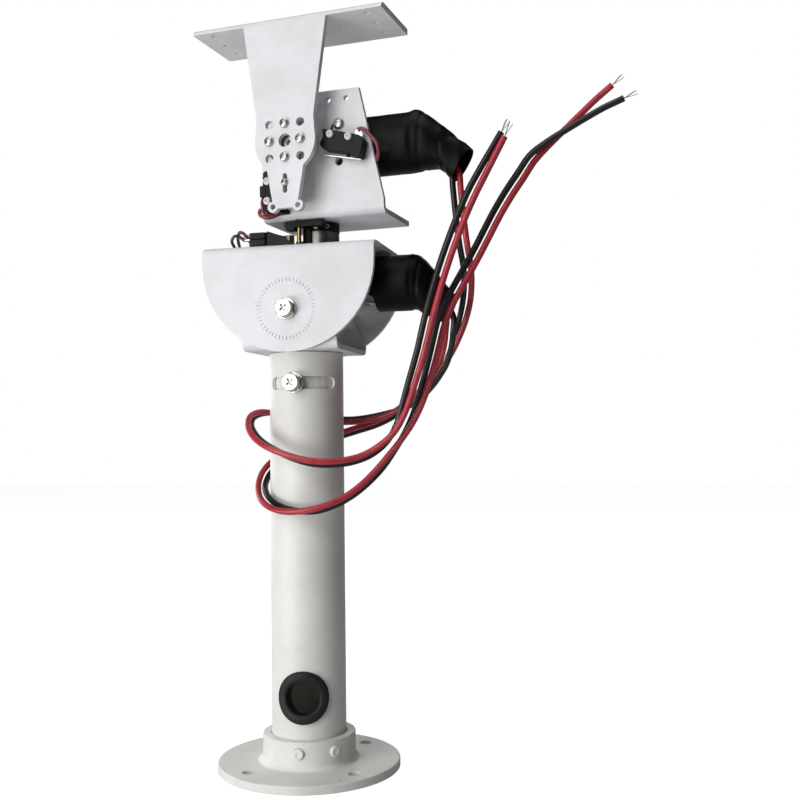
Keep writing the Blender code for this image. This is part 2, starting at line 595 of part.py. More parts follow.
def build_column():
    collar_outer = TUBE_RADIUS + COLLAR_WALL
    collar_bore = TUBE_RADIUS + FIT_HOLE
    rim = FLANGE_DIAMETER / 2
    socket_floor = FLANGE_THICKNESS
    profile = [
        (0.0, 0.0), (rim - FLANGE_EDGE, 0.0), (rim, FLANGE_EDGE), (rim, FLANGE_THICKNESS - FLANGE_EDGE),
        (rim - FLANGE_EDGE, FLANGE_THICKNESS), (collar_outer + WELD_LEG, FLANGE_THICKNESS),
        (collar_outer + WELD_LEG * 0.3, FLANGE_THICKNESS + WELD_LEG * 0.5),
        (collar_outer, FLANGE_THICKNESS + WELD_LEG), (collar_outer, COLLAR_TOP - FLANGE_EDGE),
        (collar_outer - FLANGE_EDGE, COLLAR_TOP), (collar_bore, COLLAR_TOP), (collar_bore, socket_floor),
        (0.0, socket_floor),
    ]
    flange = piece("base_flange", turned(profile, 36), PAINT)
    holes = []
    for i in range(FLANGE_HOLES):
        turn = math.radians(COLUMN_TURN - 45.0 + 360.0 * i / FLANGE_HOLES)
        at = (math.sin(turn) * FLANGE_HOLE_CIRCLE / 2, -math.cos(turn) * FLANGE_HOLE_CIRCLE / 2)
        holes.append(rod(FLANGE_HOLE_DIAMETER / 2, -0.002, FLANGE_THICKNESS + 0.002, 20, "Z", at))
    cut(flange, merged(holes), "fixing_holes")
    screw_holes = []
    for turn in COLLAR_SCREW_ANGLES:
        hole = rod(COLLAR_SCREW_DIAMETER / 2 + FIT_HOLE, -collar_outer - 0.004, -TUBE_RADIUS + 0.003, 16, "Y")
        hole.transform(radial(turn, COLLAR_SCREW_HEIGHT))
        screw_holes.append(hole)
    cut(flange, merged(screw_holes), "clamp_holes")
    for name, turn in zip(("collar_screw_front", "collar_screw_side"), COLLAR_SCREW_ANGLES):
        face = -collar_outer - COLLAR_SCREW_PROUD
        edge = COLLAR_SCREW_DIAMETER / 2
        profile = [(0.0, face), (edge - 0.0005, face), (edge, face + 0.0005),
                   (edge, -TUBE_RADIUS - CLEARANCE), (0.0, -TUBE_RADIUS - CLEARANCE)]
        screw = piece(name, turned([(r, -y) for r, y in profile], 16, "Y"), PAINT, None,
                      radial(turn, COLLAR_SCREW_HEIGHT))
        cut(screw, prism(hexagon(0.0025), face - 0.001, face + 0.0016, "Y"), "socket")

    bore = TUBE_RADIUS - TUBE_WALL
    low = socket_floor + CLEARANCE
    profile = [(bore, low), (TUBE_RADIUS, low), (TUBE_RADIUS, TUBE_TOP), (bore, TUBE_TOP)]
    column = piece("column_tube", turned(profile, 44), PAINT)
    half_arc = math.radians(SLOT_HALF_ANGLE) * TUBE_RADIUS
    end = half_arc - SLOT_WIDTH / 2
    right = arc(SLOT_WIDTH / 2, -90, 90, 6, (end, 0.0))
    left = arc(SLOT_WIDTH / 2, 90, 270, 6, (-end, 0.0))
    steps = 12
    top = [(end - 2 * end * i / steps, SLOT_WIDTH / 2) for i in range(1, steps)]
    bottom = [(-x, -z) for x, z in top]
    slot = prism([(x, z + SLOT_HEIGHT) for x, z in right + top + left + bottom],
                 -TUBE_RADIUS - 0.002, -bore + 0.002, "Y")
    cut(column, wrapped(slot, TUBE_RADIUS, COLUMN_TURN), "swivel_slot")
    hole = prism(circle(GROMMET_HOLE / 2, 28, (0.0, GROMMET_HEIGHT)), -TUBE_RADIUS - 0.002, -bore + 0.002, "Y")
    cut(column, wrapped(hole, TUBE_RADIUS, COLUMN_TURN), "cable_hole")

    neck, lip = GROMMET_HOLE / 2 - FIT_HOLE, GROMMET_FLANGE / 2
    outside, inside = -TUBE_RADIUS - CLEARANCE, -bore + CLEARANCE
    profile = [
        (GROMMET_BORE / 2, outside - GROMMET_LIP * 0.55), (GROMMET_BORE / 2 + 0.0012, outside - GROMMET_LIP),
        (lip - 0.0014, outside - GROMMET_LIP), (lip, outside - GROMMET_LIP * 0.35), (lip, outside),
        (neck, outside), (neck, inside), (lip - 0.001, inside), (lip - 0.0016, inside + 0.0014),
        (GROMMET_BORE / 2, inside + 0.0014),
    ]
    ring = turned([(r, -y) for r, y in profile], 20, "Y", (0.0, 0.0, GROMMET_HEIGHT))
    piece("cable_grommet", wrapped(ring, TUBE_RADIUS, COLUMN_TURN), RUBBER)


def build_swivel(swivel):
    outer = TUBE_RADIUS - TUBE_WALL - FIT_HOLE
    inner = outer - SPIGOT_WALL
    top = YOKE_UNDERSIDE - CLEARANCE
    profile = [(inner, top - SPIGOT_LENGTH), (outer - 0.0005, top - SPIGOT_LENGTH),
               (outer, top - SPIGOT_LENGTH + 0.0005), (outer, top), (inner, top)]
    spigot = piece("swivel_spigot", turned(profile, 28), PAINT, swivel)
    cut(spigot, rod(LOCK_THREAD / 2 + FIT_HOLE, -outer - 0.004, -inner + 0.004, 20, "Y", (0.0, SLOT_HEIGHT)),
        "lock_thread")

    base_half = YOKE_WIDTH / 2
    shoulder = YOKE_UNDERSIDE + YOKE_SHOULDER
    rise = PIVOT_HEIGHT - shoulder
    reach = math.hypot(base_half, rise)
    tangent = math.degrees(math.atan2(-rise, base_half) + math.acos(YOKE_EAR_RADIUS / reach))
    ear = arc(YOKE_EAR_RADIUS, tangent, 180.0 - tangent, 20, (0.0, PIVOT_HEIGHT))
    outline = [(-base_half, shoulder), (-base_half, YOKE_UNDERSIDE - 0.005),
               (base_half, YOKE_UNDERSIDE - 0.005), (base_half, shoulder)] + ear
    section = channel_section(YOKE_HALF_DEPTH, YOKE_SHEET, YOKE_UNDERSIDE,
                              PIVOT_HEIGHT + YOKE_EAR_RADIUS + 0.002)
    yoke = folded_sheet("yoke", section, base_half + 0.004, outline, YOKE_HALF_DEPTH + 0.004, swivel)
    cut(yoke, rod(PIVOT_THREAD / 2 + FIT_HOLE, -YOKE_HALF_DEPTH - 0.003, YOKE_HALF_DEPTH + 0.003, 24, "Y",
                  (0.0, PIVOT_HEIGHT)), "pivot_holes")
    cut(yoke, rod(YOKE_BORE / 2, YOKE_UNDERSIDE - 0.003, YOKE_UNDERSIDE + YOKE_SHEET + 0.003, 32), "cable_bore")

    bearing = -TUBE_RADIUS - CLEARANCE
    stack = bearing - WASHER_THICKNESS - CLEARANCE / 2
    seat = stack - SPRING_WASHER_THICKNESS - CLEARANCE / 2
    bore = LOCK_THREAD + 2 * FIT_HOLE
    washer("lock_washer", WASHER_DIAMETER, bore, WASHER_THICKNESS, swivel,
           Matrix.Translation((0.0, bearing, SLOT_HEIGHT)))
    washer("lock_spring_washer", SPRING_WASHER_DIAMETER, bore, SPRING_WASHER_THICKNESS, swivel,
           Matrix.Translation((0.0, stack, SLOT_HEIGHT)))
    hex_bolt("lock_bolt", LOCK_THREAD, -inner - seat, swivel, Matrix.Translation((0.0, seat, SLOT_HEIGHT)))


def gearbox(name, parent, place):
    """Worm gearbox and motor can. Local Z is the shaft's way out, with the face at z = 0 and the motor at +X."""
    left = SHAFT_FROM_MOTOR_END - GEARBOX_LENGTH
    right = SHAFT_FROM_MOTOR_END
    half = GEARBOX_WIDTH / 2
    c = GEARBOX_CORNER
    outline = (arc(c, 0, 90, 3, (right - c, half - c)) + arc(c, 90, 180, 3, (left + c, half - c))
               + arc(c, 180, 270, 3, (left + c, c - half)) + arc(c, 270, 360, 3, (right - c, c - half)))
    box = piece(f"{name}_gearbox", prism(outline, -GEARBOX_THICKNESS, 0.0), GEARBOX_STEEL, parent, place)
    holes = [rod(SCREW_THREAD / 2 + FIT_HOLE, -SCREW_LENGTH, 0.002, 16, "Z", at) for at in face_holes()]
    cut(box, merged(holes), "screw_holes")

    start = right + CLEARANCE
    can, boss = MOTOR_DIAMETER / 2, 0.004
    profile = [
        (0.0, start), (can, start), (can, start + MOTOR_LENGTH - 0.0015), (can - 0.0015, start + MOTOR_LENGTH),
        (boss, start + MOTOR_LENGTH), (boss, start + MOTOR_LENGTH + 0.002), (0.0, start + MOTOR_LENGTH + 0.002),
    ]
    piece(f"{name}_motor", turned(profile, 24, "X", (0.0, 0.0, -MOTOR_AXIS_DEPTH)), GEARBOX_STEEL, parent, place)


def face_holes():
    right, left = FACE_HOLE_OFFSET, FACE_HOLE_OFFSET - FACE_HOLE_LENGTH
    half = FACE_HOLE_WIDTH / 2
    return [(right, half), (right, -half), (left, half), (left, -half)]


def sleeve(name, parent, place, straight, rise, flap):
    """Shrink sleeve: round over the motor, then pressed flat and bent down into a flap with an open end.

    The local frame has X along the motor and Z up, with the motor's axis at z = 0.
    """
    radius = MOTOR_DIAMETER / 2 + 2 * CLEARANCE + SLEEVE_WALL
    top, bottom = radius + rise, -radius
    start = SHAFT_FROM_MOTOR_END + 2 * CLEARANCE
    end = start + straight
    sections = [(start, top, start, bottom, radius + SLEEVE_SLACK),
                (end - straight * 0.15, top, end - straight * 0.15, bottom, radius + SLEEVE_SLACK)]
    sections += [(end + upper, top - drop, end + lower, bottom - fall, half)
                 for upper, drop, lower, fall, half in flap]
    rings = []
    shape = bmesh.new()
    for wall in (0.0, SLEEVE_WALL):
        for upper_x, upper_z, lower_x, lower_z, half_y in sections:
            middle = Vector(((upper_x + lower_x) / 2, 0.0, (upper_z + lower_z) / 2))
            reach = Vector((upper_x, 0.0, upper_z)) - middle
            up = reach.normalized() * (reach.length - wall)
            side = Vector((0.0, half_y - wall, 0.0))
            turns = [math.tau * i / SLEEVE_STEPS for i in range(SLEEVE_STEPS)]
            rings.append([shape.verts.new(middle + up * math.sin(t) + side * math.cos(t)) for t in turns])
    count = len(sections)
    pairs = [(i, i + 1) for i in range(count - 1)] + [(i + count, i + count + 1) for i in range(count - 1)]
    pairs += [(0, count), (count - 1, 2 * count - 1)]
    for a, b in pairs:
        for i in range(SLEEVE_STEPS):
            j = (i + 1) % SLEEVE_STEPS
            shape.faces.new((rings[a][i], rings[a][j], rings[b][j], rings[b][i]))
    return piece(name, shape, SLEEVE_BLACK, parent, place)


def microswitch(name, parent, place, hinge_side, roller):
    """Snap switch on its mounting face at y = 0, body towards +Y, terminals up and a sprung lever below."""
    half = SWITCH_LENGTH / 2
    top, bottom = SWITCH_ABOVE_HOLES, -SWITCH_BELOW_HOLES
    notch = 0.0012
    outline = [
        (-half, bottom + SWITCH_EDGE), (-half + SWITCH_EDGE, bottom), (half - SWITCH_EDGE, bottom),
        (half, bottom + SWITCH_EDGE), (half, top - notch), (half - notch, top), (-half + notch, top),
        (-half, top - notch),
    ]
    body = piece(name, prism(outline, CLEARANCE, CLEARANCE + SWITCH_THICKNESS, "Y"), SWITCH_BLACK, parent, place)
    middle = CLEARANCE + SWITCH_THICKNESS / 2
    tabs = [
        block((x - TERMINAL_WIDTH / 2, middle - TERMINAL_THICKNESS / 2, top - 0.001),
              (x + TERMINAL_WIDTH / 2, middle + TERMINAL_THICKNESS / 2, top + TERMINAL_LENGTH))
        for x in (-TERMINAL_SPACING, 0.0, TERMINAL_SPACING)
    ]
    join(body, merged(tabs), "terminals")
    holes = [rod(SWITCH_HOLE_DIAMETER / 2, -0.001, SWITCH_THICKNESS + 0.002, 16, "Y", (x, 0.0))
             for x in (-SWITCH_HOLE_SPACING / 2, SWITCH_HOLE_SPACING / 2)]
    cut(body, merged(holes), "mounting_holes")

    rest = ROLLER_LEVER_ANGLE if roller else LEVER_REST_ANGLE
    length = ROLLER_LEVER_LENGTH if roller else LEVER_LENGTH
    hinge = place @ Matrix.Translation((hinge_side * LEVER_HINGE_X, middle, bottom - LEVER_STANDOFF))
    lever_frame = frame(f"{name}_lever_axis", hinge, parent)
    lean = Matrix.Rotation(math.radians(rest) * -hinge_side, 4, "Y")
    low_y, high_y = -LEVER_WIDTH / 2, LEVER_WIDTH / 2 + (ROLLER_LEVER_RISE if roller else 0.0)
    start, end = sorted((hinge_side * 0.0009, -hinge_side * length))
    plate = block((start, low_y, -LEVER_SHEET / 2), (end, high_y, LEVER_SHEET / 2))
    lever = piece(f"{name}_lever", plate, GEARBOX_STEEL if roller else STEEL, lever_frame, lean)
    if roller:
        drop = -ROLLER_DIAMETER / 2 + LEVER_SHEET / 4
        at = (-hinge_side * (length - ROLLER_DIAMETER / 2), drop)
        join(lever, rod(ROLLER_DIAMETER / 2, low_y, high_y, 18, "Y", at), "roller")


def build_cradle(cradle_axis):
    down = Matrix.Translation((0.0, 0.0, -PIVOT_HEIGHT))
    side = CRADLE_RADIUS
    disc = arc(side, 180.0, 360.0, 32, (0.0, CRADLE_CENTRE))
    outline = disc + [(side, CRADLE_TOP + 0.005), (-side, CRADLE_TOP + 0.005)]
    section = channel_section(CRADLE_HALF_DEPTH, CRADLE_SHEET, CRADLE_TOP, CRADLE_CENTRE - side - 0.004)
    cradle = folded_sheet("cradle", section, side + 0.004, outline, CRADLE_HALF_DEPTH + 0.004, cradle_axis, down)
    cut(cradle, rod(PIVOT_THREAD / 2 + FIT_HOLE, -CRADLE_HALF_DEPTH - 0.003, CRADLE_HALF_DEPTH + 0.003, 24, "Y",
                    (0.0, PIVOT_HEIGHT)), "pivot_holes")
    under, over = CRADLE_TOP - CRADLE_SHEET - 0.002, CRADLE_TOP + 0.002
    openings = [rod(SHAFT_OPENING / 2, under, over, 28, "Z", (PAN_X, 0.0)),
                rod(WIRE_HOLE_DIAMETER / 2, under, over, 20, "Z", (WIRE_HOLE_X, 0.0))]
    openings += [rod(SCREW_THREAD / 2 + FIT_HOLE, under, over, 16, "Z", (PAN_X + x, y)) for x, y in face_holes()]
    cut(cradle, merged(openings), "top_holes")
    teeth = []
    for i in range(ROSETTE_TEETH):
        tooth = block((ROSETTE_INNER, -CRADLE_HALF_DEPTH - 0.001, -0.0002),
                      (ROSETTE_OUTER, -CRADLE_HALF_DEPTH + ROSETTE_DEPTH, 0.0002))
        turn = Matrix.Rotation(math.tau * i / ROSETTE_TEETH, 4, "Y")
        tooth.transform(Matrix.Translation((0.0, 0.0, PIVOT_HEIGHT)) @ turn)
        teeth.append(tooth)
    cut(cradle, merged(teeth), "rosette")

    face = CRADLE_HALF_DEPTH + CLEARANCE
    bore = PIVOT_THREAD + 2 * FIT_HOLE
    washer("pivot_washer_front", WASHER_DIAMETER, bore, WASHER_THICKNESS, cradle_axis,
           Matrix.Translation((0.0, -face, 0.0)))
    rear = face + WASHER_THICKNESS
    washer("pivot_washer_rear", WASHER_DIAMETER, bore, WASHER_THICKNESS, cradle_axis,
           Matrix.Translation((0.0, rear, 0.0)))
    head = -face - WASHER_THICKNESS - CLEARANCE / 2
    nut_face = rear + CLEARANCE / 2
    nut_height = 0.0045
    hex_bolt("pivot_bolt", PIVOT_THREAD, nut_face + nut_height + 0.0015 - head, cradle_axis,
             Matrix.Translation((0.0, head, 0.0)))
    nut = piece("pivot_nut", prism(hexagon(HEX_ACROSS_FLATS), nut_face, nut_face + nut_height, "Y"), STEEL,
                cradle_axis)
    cut(nut, rod(PIVOT_THREAD / 2 + FIT_HOLE, nut_face - 0.002, nut_face + nut_height + 0.002, 20, "Y"), "thread")

    at_shaft = Matrix.Translation((PAN_X, 0.0, GEARBOX_TOP - PIVOT_HEIGHT))
    gearbox("pan", cradle_axis, at_shaft)
    sleeve("pan_sleeve", cradle_axis, at_shaft @ Matrix.Translation((0.0, 0.0, -MOTOR_AXIS_DEPTH)),
           PAN_SLEEVE_STRAIGHT, PAN_SLEEVE_RISE, PAN_SLEEVE_FLAP)
    head_seat = Matrix.Translation((PAN_X, 0.0, CRADLE_TOP + CLEARANCE - PIVOT_HEIGHT))
    upright = Matrix.Rotation(-math.pi / 2, 4, "X")
    for i, (x, y) in enumerate(face_holes()):
        machine_screw(f"pan_gearbox_screw_{i + 1}", cradle_axis, head_seat @ Matrix.Translation((x, y, 0.0)) @ upright)

    # Lying on the cradle: local Y is up, local Z points to -X and local X to -Y
    flat = Matrix(((0, 0, -1, 0), (-1, 0, 0, 0), (0, 1, 0, 0), (0, 0, 0, 1)))
    for name, y, hinge_side in (("pan_switch_front", PAN_SWITCH_FRONT_Y, 1), ("pan_switch_rear", PAN_SWITCH_REAR_Y, -1)):
        spot = Matrix.Translation((PAN_SWITCH_X, y, CRADLE_TOP - PIVOT_HEIGHT))
        microswitch(name, cradle_axis, spot @ flat, hinge_side, True)


def d_shaft(name, low, high, flat_from, parent, place):
    """Shaft along local Z with a flat on its +X side above flat_from."""
    radius = SHAFT_DIAMETER / 2
    shaft = piece(name, rod(radius, low, high, 24), STEEL, parent, place)
    cut(shaft, block((radius - SHAFT_FLAT, -0.01, flat_from), (0.01, 0.01, high + 0.01)), "flat")
    return shaft


def hub(name, low, high, hub_radius, flange, parent, place):
    """Coupling along local Z with a set screw hole; a flange radius above the hub's own adds a flange at the top."""
    bore = SHAFT_DIAMETER / 2 + FIT_HOLE
    profile = [(bore, low), (hub_radius, low)]
    shoulder = high
    if flange > hub_radius:
        shoulder = high - HUB_FLANGE_THICKNESS
        profile += [(hub_radius, shoulder), (flange, shoulder)]
    profile += [(max(flange, hub_radius), high), (bore, high)]
    made = piece(name, turned(profile, 32), GEARBOX_STEEL, parent, place)
    middle = (low + shoulder) / 2
    cut(made, rod(0.0012, -hub_radius - 0.002, -bore + 0.001, 12, "Y", (0.0, middle)), "set_screw_hole")
    return made


def build_pan_head(pan_axis):
    shaft_low = GEARBOX_TOP + CLEARANCE
    hub_low = CRADLE_TOP + 0.0008
    hub_high = HEAD_UNDERSIDE - CLEARANCE
    d_shaft("pan_shaft", shaft_low, hub_high - 0.001, CRADLE_TOP + 0.002, pan_axis, Matrix.Identity(4))
    hub("pan_coupling", hub_low, hub_high, PAN_HUB_DIAMETER / 2, 0.0, pan_axis, Matrix.Identity(4))

    section = angle_section(BRACKET_FRONT, BRACKET_BACK, BRACKET_SHEET, HEAD_UNDERSIDE, BRACKET_TOP + 0.002,
                            BEND_RADIUS)
    outline = [(BRACKET_LEFT, HEAD_UNDERSIDE - 0.004), (BRACKET_RIGHT, HEAD_UNDERSIDE - 0.004),
               (BRACKET_RIGHT, BRACKET_FOOT), (BRACKET_RIGHT_TOP, BRACKET_TOP), (BRACKET_LEFT, BRACKET_TOP)]
    bracket = folded_sheet("l_bracket", section, 0.05, outline, 0.04, pan_axis)
    front, rear = BRACKET_FRONT - 0.002, BRACKET_REAR_FACE + 0.002
    screw_hole = SCREW_THREAD / 2 + FIT_HOLE
    holes = [rod(SHAFT_OPENING / 2, front, rear, 28, "Y", (TILT_X, TILT_HEIGHT))]
    holes += [rod(FACE_HOLE_DIAMETER / 2 if (x > 0 and z < 0) else screw_hole, front, rear, 18, "Y",
                  (TILT_X + x, TILT_HEIGHT + z)) for x, z in face_holes()]
    holes += [rod(BRACKET_SMALL_HOLE / 2, front, rear, 14, "Y", (x, BRACKET_TOP - BRACKET_SMALL_HOLE_DROP))
              for x in BRACKET_SMALL_HOLES]
    pin_hole = TRIGGER_PIN_DIAMETER / 2 + FIT_HOLE
    pin_top = HEAD_UNDERSIDE + BRACKET_SHEET * 0.75
    holes.append(rod(pin_hole, HEAD_UNDERSIDE - 0.002, pin_top + CLEARANCE, 16, "Z", TRIGGER_PIN_AT))
    cut(bracket, merged(holes), "holes")

    block_top = HEAD_UNDERSIDE - CLEARANCE
    back = TRIGGER_PIN_AT[1] + TRIGGER_BLOCK_DEPTH / 2
    trigger = block((TRIGGER_BLOCK_LEFT, back - TRIGGER_BLOCK_DEPTH, block_top - TRIGGER_BLOCK_HEIGHT),
                    (TRIGGER_BLOCK_LEFT + TRIGGER_BLOCK_LENGTH, back, block_top))
    trigger_block = piece("pan_trigger_block", trigger, SWITCH_BLACK, pan_axis)
    cut(trigger_block, rod(pin_hole, block_top - 0.01, block_top + 0.002, 16, "Z", TRIGGER_PIN_AT), "bore")
    radius = TRIGGER_PIN_DIAMETER / 2
    profile = [(0.0, TRIGGER_PIN_BOTTOM), (radius - 0.0003, TRIGGER_PIN_BOTTOM),
               (radius, TRIGGER_PIN_BOTTOM + 0.0003), (radius, pin_top), (0.0, pin_top)]
    piece("pan_trigger_pin", turned(profile, 16), BRASS, pan_axis,
          Matrix.Translation((*TRIGGER_PIN_AT, 0.0)))

    # The tilt motor's shaft points to -Y: its local Z is -Y and its local X stays +X
    face = Matrix.Translation((TILT_X, BRACKET_REAR_FACE + CLEARANCE, TILT_HEIGHT))
    outward = Matrix.Rotation(math.pi / 2, 4, "X")
    gearbox("tilt", pan_axis, face @ outward)
    sleeve("tilt_sleeve", pan_axis, face @ Matrix.Translation((0.0, MOTOR_AXIS_DEPTH, 0.0)),
           TILT_SLEEVE_STRAIGHT, TILT_SLEEVE_RISE, TILT_SLEEVE_FLAP)
    screws = [(x, z) for x, z in face_holes() if not (x > 0 and z < 0)]
    for i, (x, z) in enumerate(screws):
        machine_screw(f"tilt_gearbox_screw_{i + 1}", pan_axis,
                      Matrix.Translation((TILT_X + x, BRACKET_FRONT - CLEARANCE, TILT_HEIGHT + z)))

    # Standing off the bracket's front: local Y is -Y. The right one lies along X, the left one is upright
    half_turn = Matrix.Rotation(math.pi, 4, "Z")
    lean = Matrix.Rotation(math.radians(-TILT_SWITCH_RIGHT_TURN), 4, "Y")
    upright = Matrix(((0, 0, -1, 0), (0, -1, 0, 0), (-1, 0, 0, 0), (0, 0, 0, 1)))
    places = (
        ("tilt_switch_right", TILT_SWITCH_RIGHT, lean @ half_turn),
        ("tilt_switch_left", TILT_SWITCH_LEFT, upright),
    )
    for name, (x, z), turn in places:
        spot = Matrix.Translation((TILT_X + x, BRACKET_FRONT, TILT_HEIGHT + z)) @ turn
        microswitch(name, pan_axis, spot, -1, False)
        for label, along in (("a", -SWITCH_HOLE_SPACING / 2), ("b", SWITCH_HOLE_SPACING / 2)):
            seat = spot @ Matrix.Translation((along, SWITCH_THICKNESS + 2 * CLEARANCE, 0.0))
            machine_screw(f"{name}_screw_{label}", pan_axis, seat @ Matrix.Rotation(math.pi, 4, "Z"),
                          SWITCH_THICKNESS, PAINT, SWITCH_SCREW_HEAD, SWITCH_SCREW_THREAD)


def arm_outline():
    """Front view of the bent arm about the tilt axis, with the top plate's ends at its upper edge."""
    under = TOP_PLATE_UNDERSIDE - TILT_HEIGHT
    over = under + ARM_SHEET
    half = TOP_PLATE_LENGTH / 2
    waist = math.degrees(math.asin(0.35))
    neck = -math.degrees(math.acos(ARM_NECK_HALF_WIDTH / ARM_HUB_RADIUS))
    eye = (ARM_EYE_OFFSET, -ARM_EYE_DROP)
    right = [
        (half, over + 0.003), (half, under), (ARM_TOP_HALF_WIDTH, under),
        (ARM_WAIST_HALF_WIDTH, ARM_WAIST_RISE),
    ]
    right += arc(ARM_HUB_RADIUS, waist * 0.6, neck, 9)
    right += [(ARM_TAIL_HALF_WIDTH, -ARM_TAIL_DROP)]
    right += arc(ARM_EYE_RADIUS, 60, -160, 9, eye)
    left = [(-x, z) for x, z in right[::-1]]
    return right + left


def build_tilt_arm(tilt_axis):
    """Local frame on the tilt axis: Y still runs front to back, z = 0 on the axis."""
    plate_top = TOP_PLATE_UNDERSIDE + ARM_SHEET - TILT_HEIGHT
    section = angle_section(ARM_FRONT, TOP_PLATE_BACK, ARM_SHEET, plate_top, -0.04, ARM_BEND_RADIUS)
    arm = folded_sheet("tilt_arm_plate", section, 0.06, arm_outline(), 0.05, tilt_axis)
    low, high = ARM_FRONT - 0.002, ARM_BACK + 0.002
    holes = []
    for column in (-1, 0, 1):
        for row in (-1, 0, 1):
            radius = ARM_CENTRE_HOLE / 2 if column == row == 0 else ARM_HOLE_DIAMETER / 2
            holes.append(rod(radius, low, high, 16, "Y", (column * ARM_HOLE_PITCH, row * ARM_HOLE_PITCH)))
    slot_end = ARM_SLOT_WIDTH / 2
    slot = (arc(slot_end, 0, 180, 6, (0.0, -ARM_SLOT_TOP - slot_end))
            + arc(slot_end, 180, 360, 6, (0.0, -ARM_SLOT_BOTTOM + slot_end)))
    holes.append(prism(slot, low, high, "Y"))
    holes += [rod(ARM_EYE_HOLE / 2, low, high, 14, "Y", (x, -ARM_EYE_DROP)) for x in (-ARM_EYE_OFFSET, ARM_EYE_OFFSET)]
    cut(arm, merged(holes), "arm_holes")
    rows = [ARM_FRONT + row for row in TOP_PLATE_HOLE_ROWS]
    plate_holes = [(x, y) for x in (-TOP_PLATE_HOLE_X, TOP_PLATE_HOLE_X) for y in rows]
    plate_holes += [(x, rows[1]) for x in (-TOP_PLATE_INNER_HOLE_X, TOP_PLATE_INNER_HOLE_X)]
    cut(arm, merged([rod(TOP_PLATE_HOLE / 2, plate_top - 0.006, plate_top + 0.003, 12, "Z", at)
                     for at in plate_holes]), "plate_holes")

    along = Matrix.Rotation(math.pi / 2, 4, "X")
    shaft_start = -(BRACKET_REAR_FACE)
    shaft_end = -ARM_FRONT - TILT_SHAFT_INSET
    shaft = d_shaft("tilt_shaft", shaft_start, shaft_end, shaft_start + 0.003, tilt_axis, along)
    cut(shaft, rod(SHAFT_CENTRE_HOLE / 2, shaft_end - 0.005, shaft_end + 0.002, 16), "centre_hole")
    hub_start = -BRACKET_FRONT + 0.0006
    hub_end = -ARM_BACK - CLEARANCE
    hub("tilt_coupling", hub_start, hub_end, TILT_HUB_DIAMETER / 2, HUB_FLANGE_DIAMETER / 2, tilt_axis, along)
    for i, (x, z) in enumerate(((0, 1), (1, 0), (0, -1), (-1, 0))):
        seat = Matrix.Translation((x * ARM_HOLE_PITCH, ARM_FRONT - CLEARANCE, z * ARM_HOLE_PITCH))
        machine_screw(f"hub_screw_{i + 1}", tilt_axis, seat, ARM_SHEET, STEEL, HUB_SCREW_HEAD)
    machine_screw("trigger_screw", tilt_axis,
                  Matrix.Translation((0.0, ARM_FRONT - CLEARANCE, -TRIGGER_SCREW_DROP)),
                  TRIGGER_SCREW_END - ARM_FRONT + CLEARANCE, STEEL, TRIGGER_SCREW_HEAD, TRIGGER_SCREW_THREAD)
    nut_face = ARM_BACK + CLEARANCE
    nut = piece("trigger_nut", prism(hexagon(NUT_ACROSS_FLATS), nut_face, nut_face + NUT_HEIGHT, "Y"), STEEL,
                tilt_axis, Matrix.Translation((0.0, 0.0, -TRIGGER_SCREW_DROP)))
    cut(nut, rod(TRIGGER_SCREW_THREAD / 2 + FIT_HOLE, nut_face - 0.002, nut_face + NUT_HEIGHT + 0.002, 16, "Y"),
        "thread")


def build_leads(swivel, cradle_axis, pan_axis):
    lead_pair("tilt_lead", TILT_LEAD_ROUTE, TILT_LEAD_RED_END, TILT_LEAD_BLACK_END, TILT_LEAD_TWIST, swivel)
    lead_pair("pan_lead", PAN_LEAD_ROUTE, PAN_LEAD_RED_END, PAN_LEAD_BLACK_END, PAN_LEAD_TWIST, swivel)


def build():
    clear_scene()
    swivel = frame("swivel_axis", Matrix.Identity(4))
    cradle_axis = frame("cradle_tilt_axis", Matrix.Translation((0.0, 0.0, PIVOT_HEIGHT)), swivel)
    pan_place = Matrix.Translation((PAN_X, 0.0, -PIVOT_HEIGHT)) @ Matrix.Rotation(math.radians(-HEAD_YAW), 4, "Z")
    pan_axis = frame("pan_axis", pan_place, cradle_axis)
    tilt_axis = frame("tilt_axis", Matrix.Translation((TILT_X, 0.0, TILT_HEIGHT)), pan_axis)
    build_column()
    build_swivel(swivel)
    build_cradle(cradle_axis)
    build_pan_head(pan_axis)
    build_tilt_arm(tilt_axis)
    build_leads(swivel, cradle_axis, pan_axis)


build()
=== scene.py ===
import json
import math

import bmesh
import bpy
from mathutils import Matrix, Vector, noise

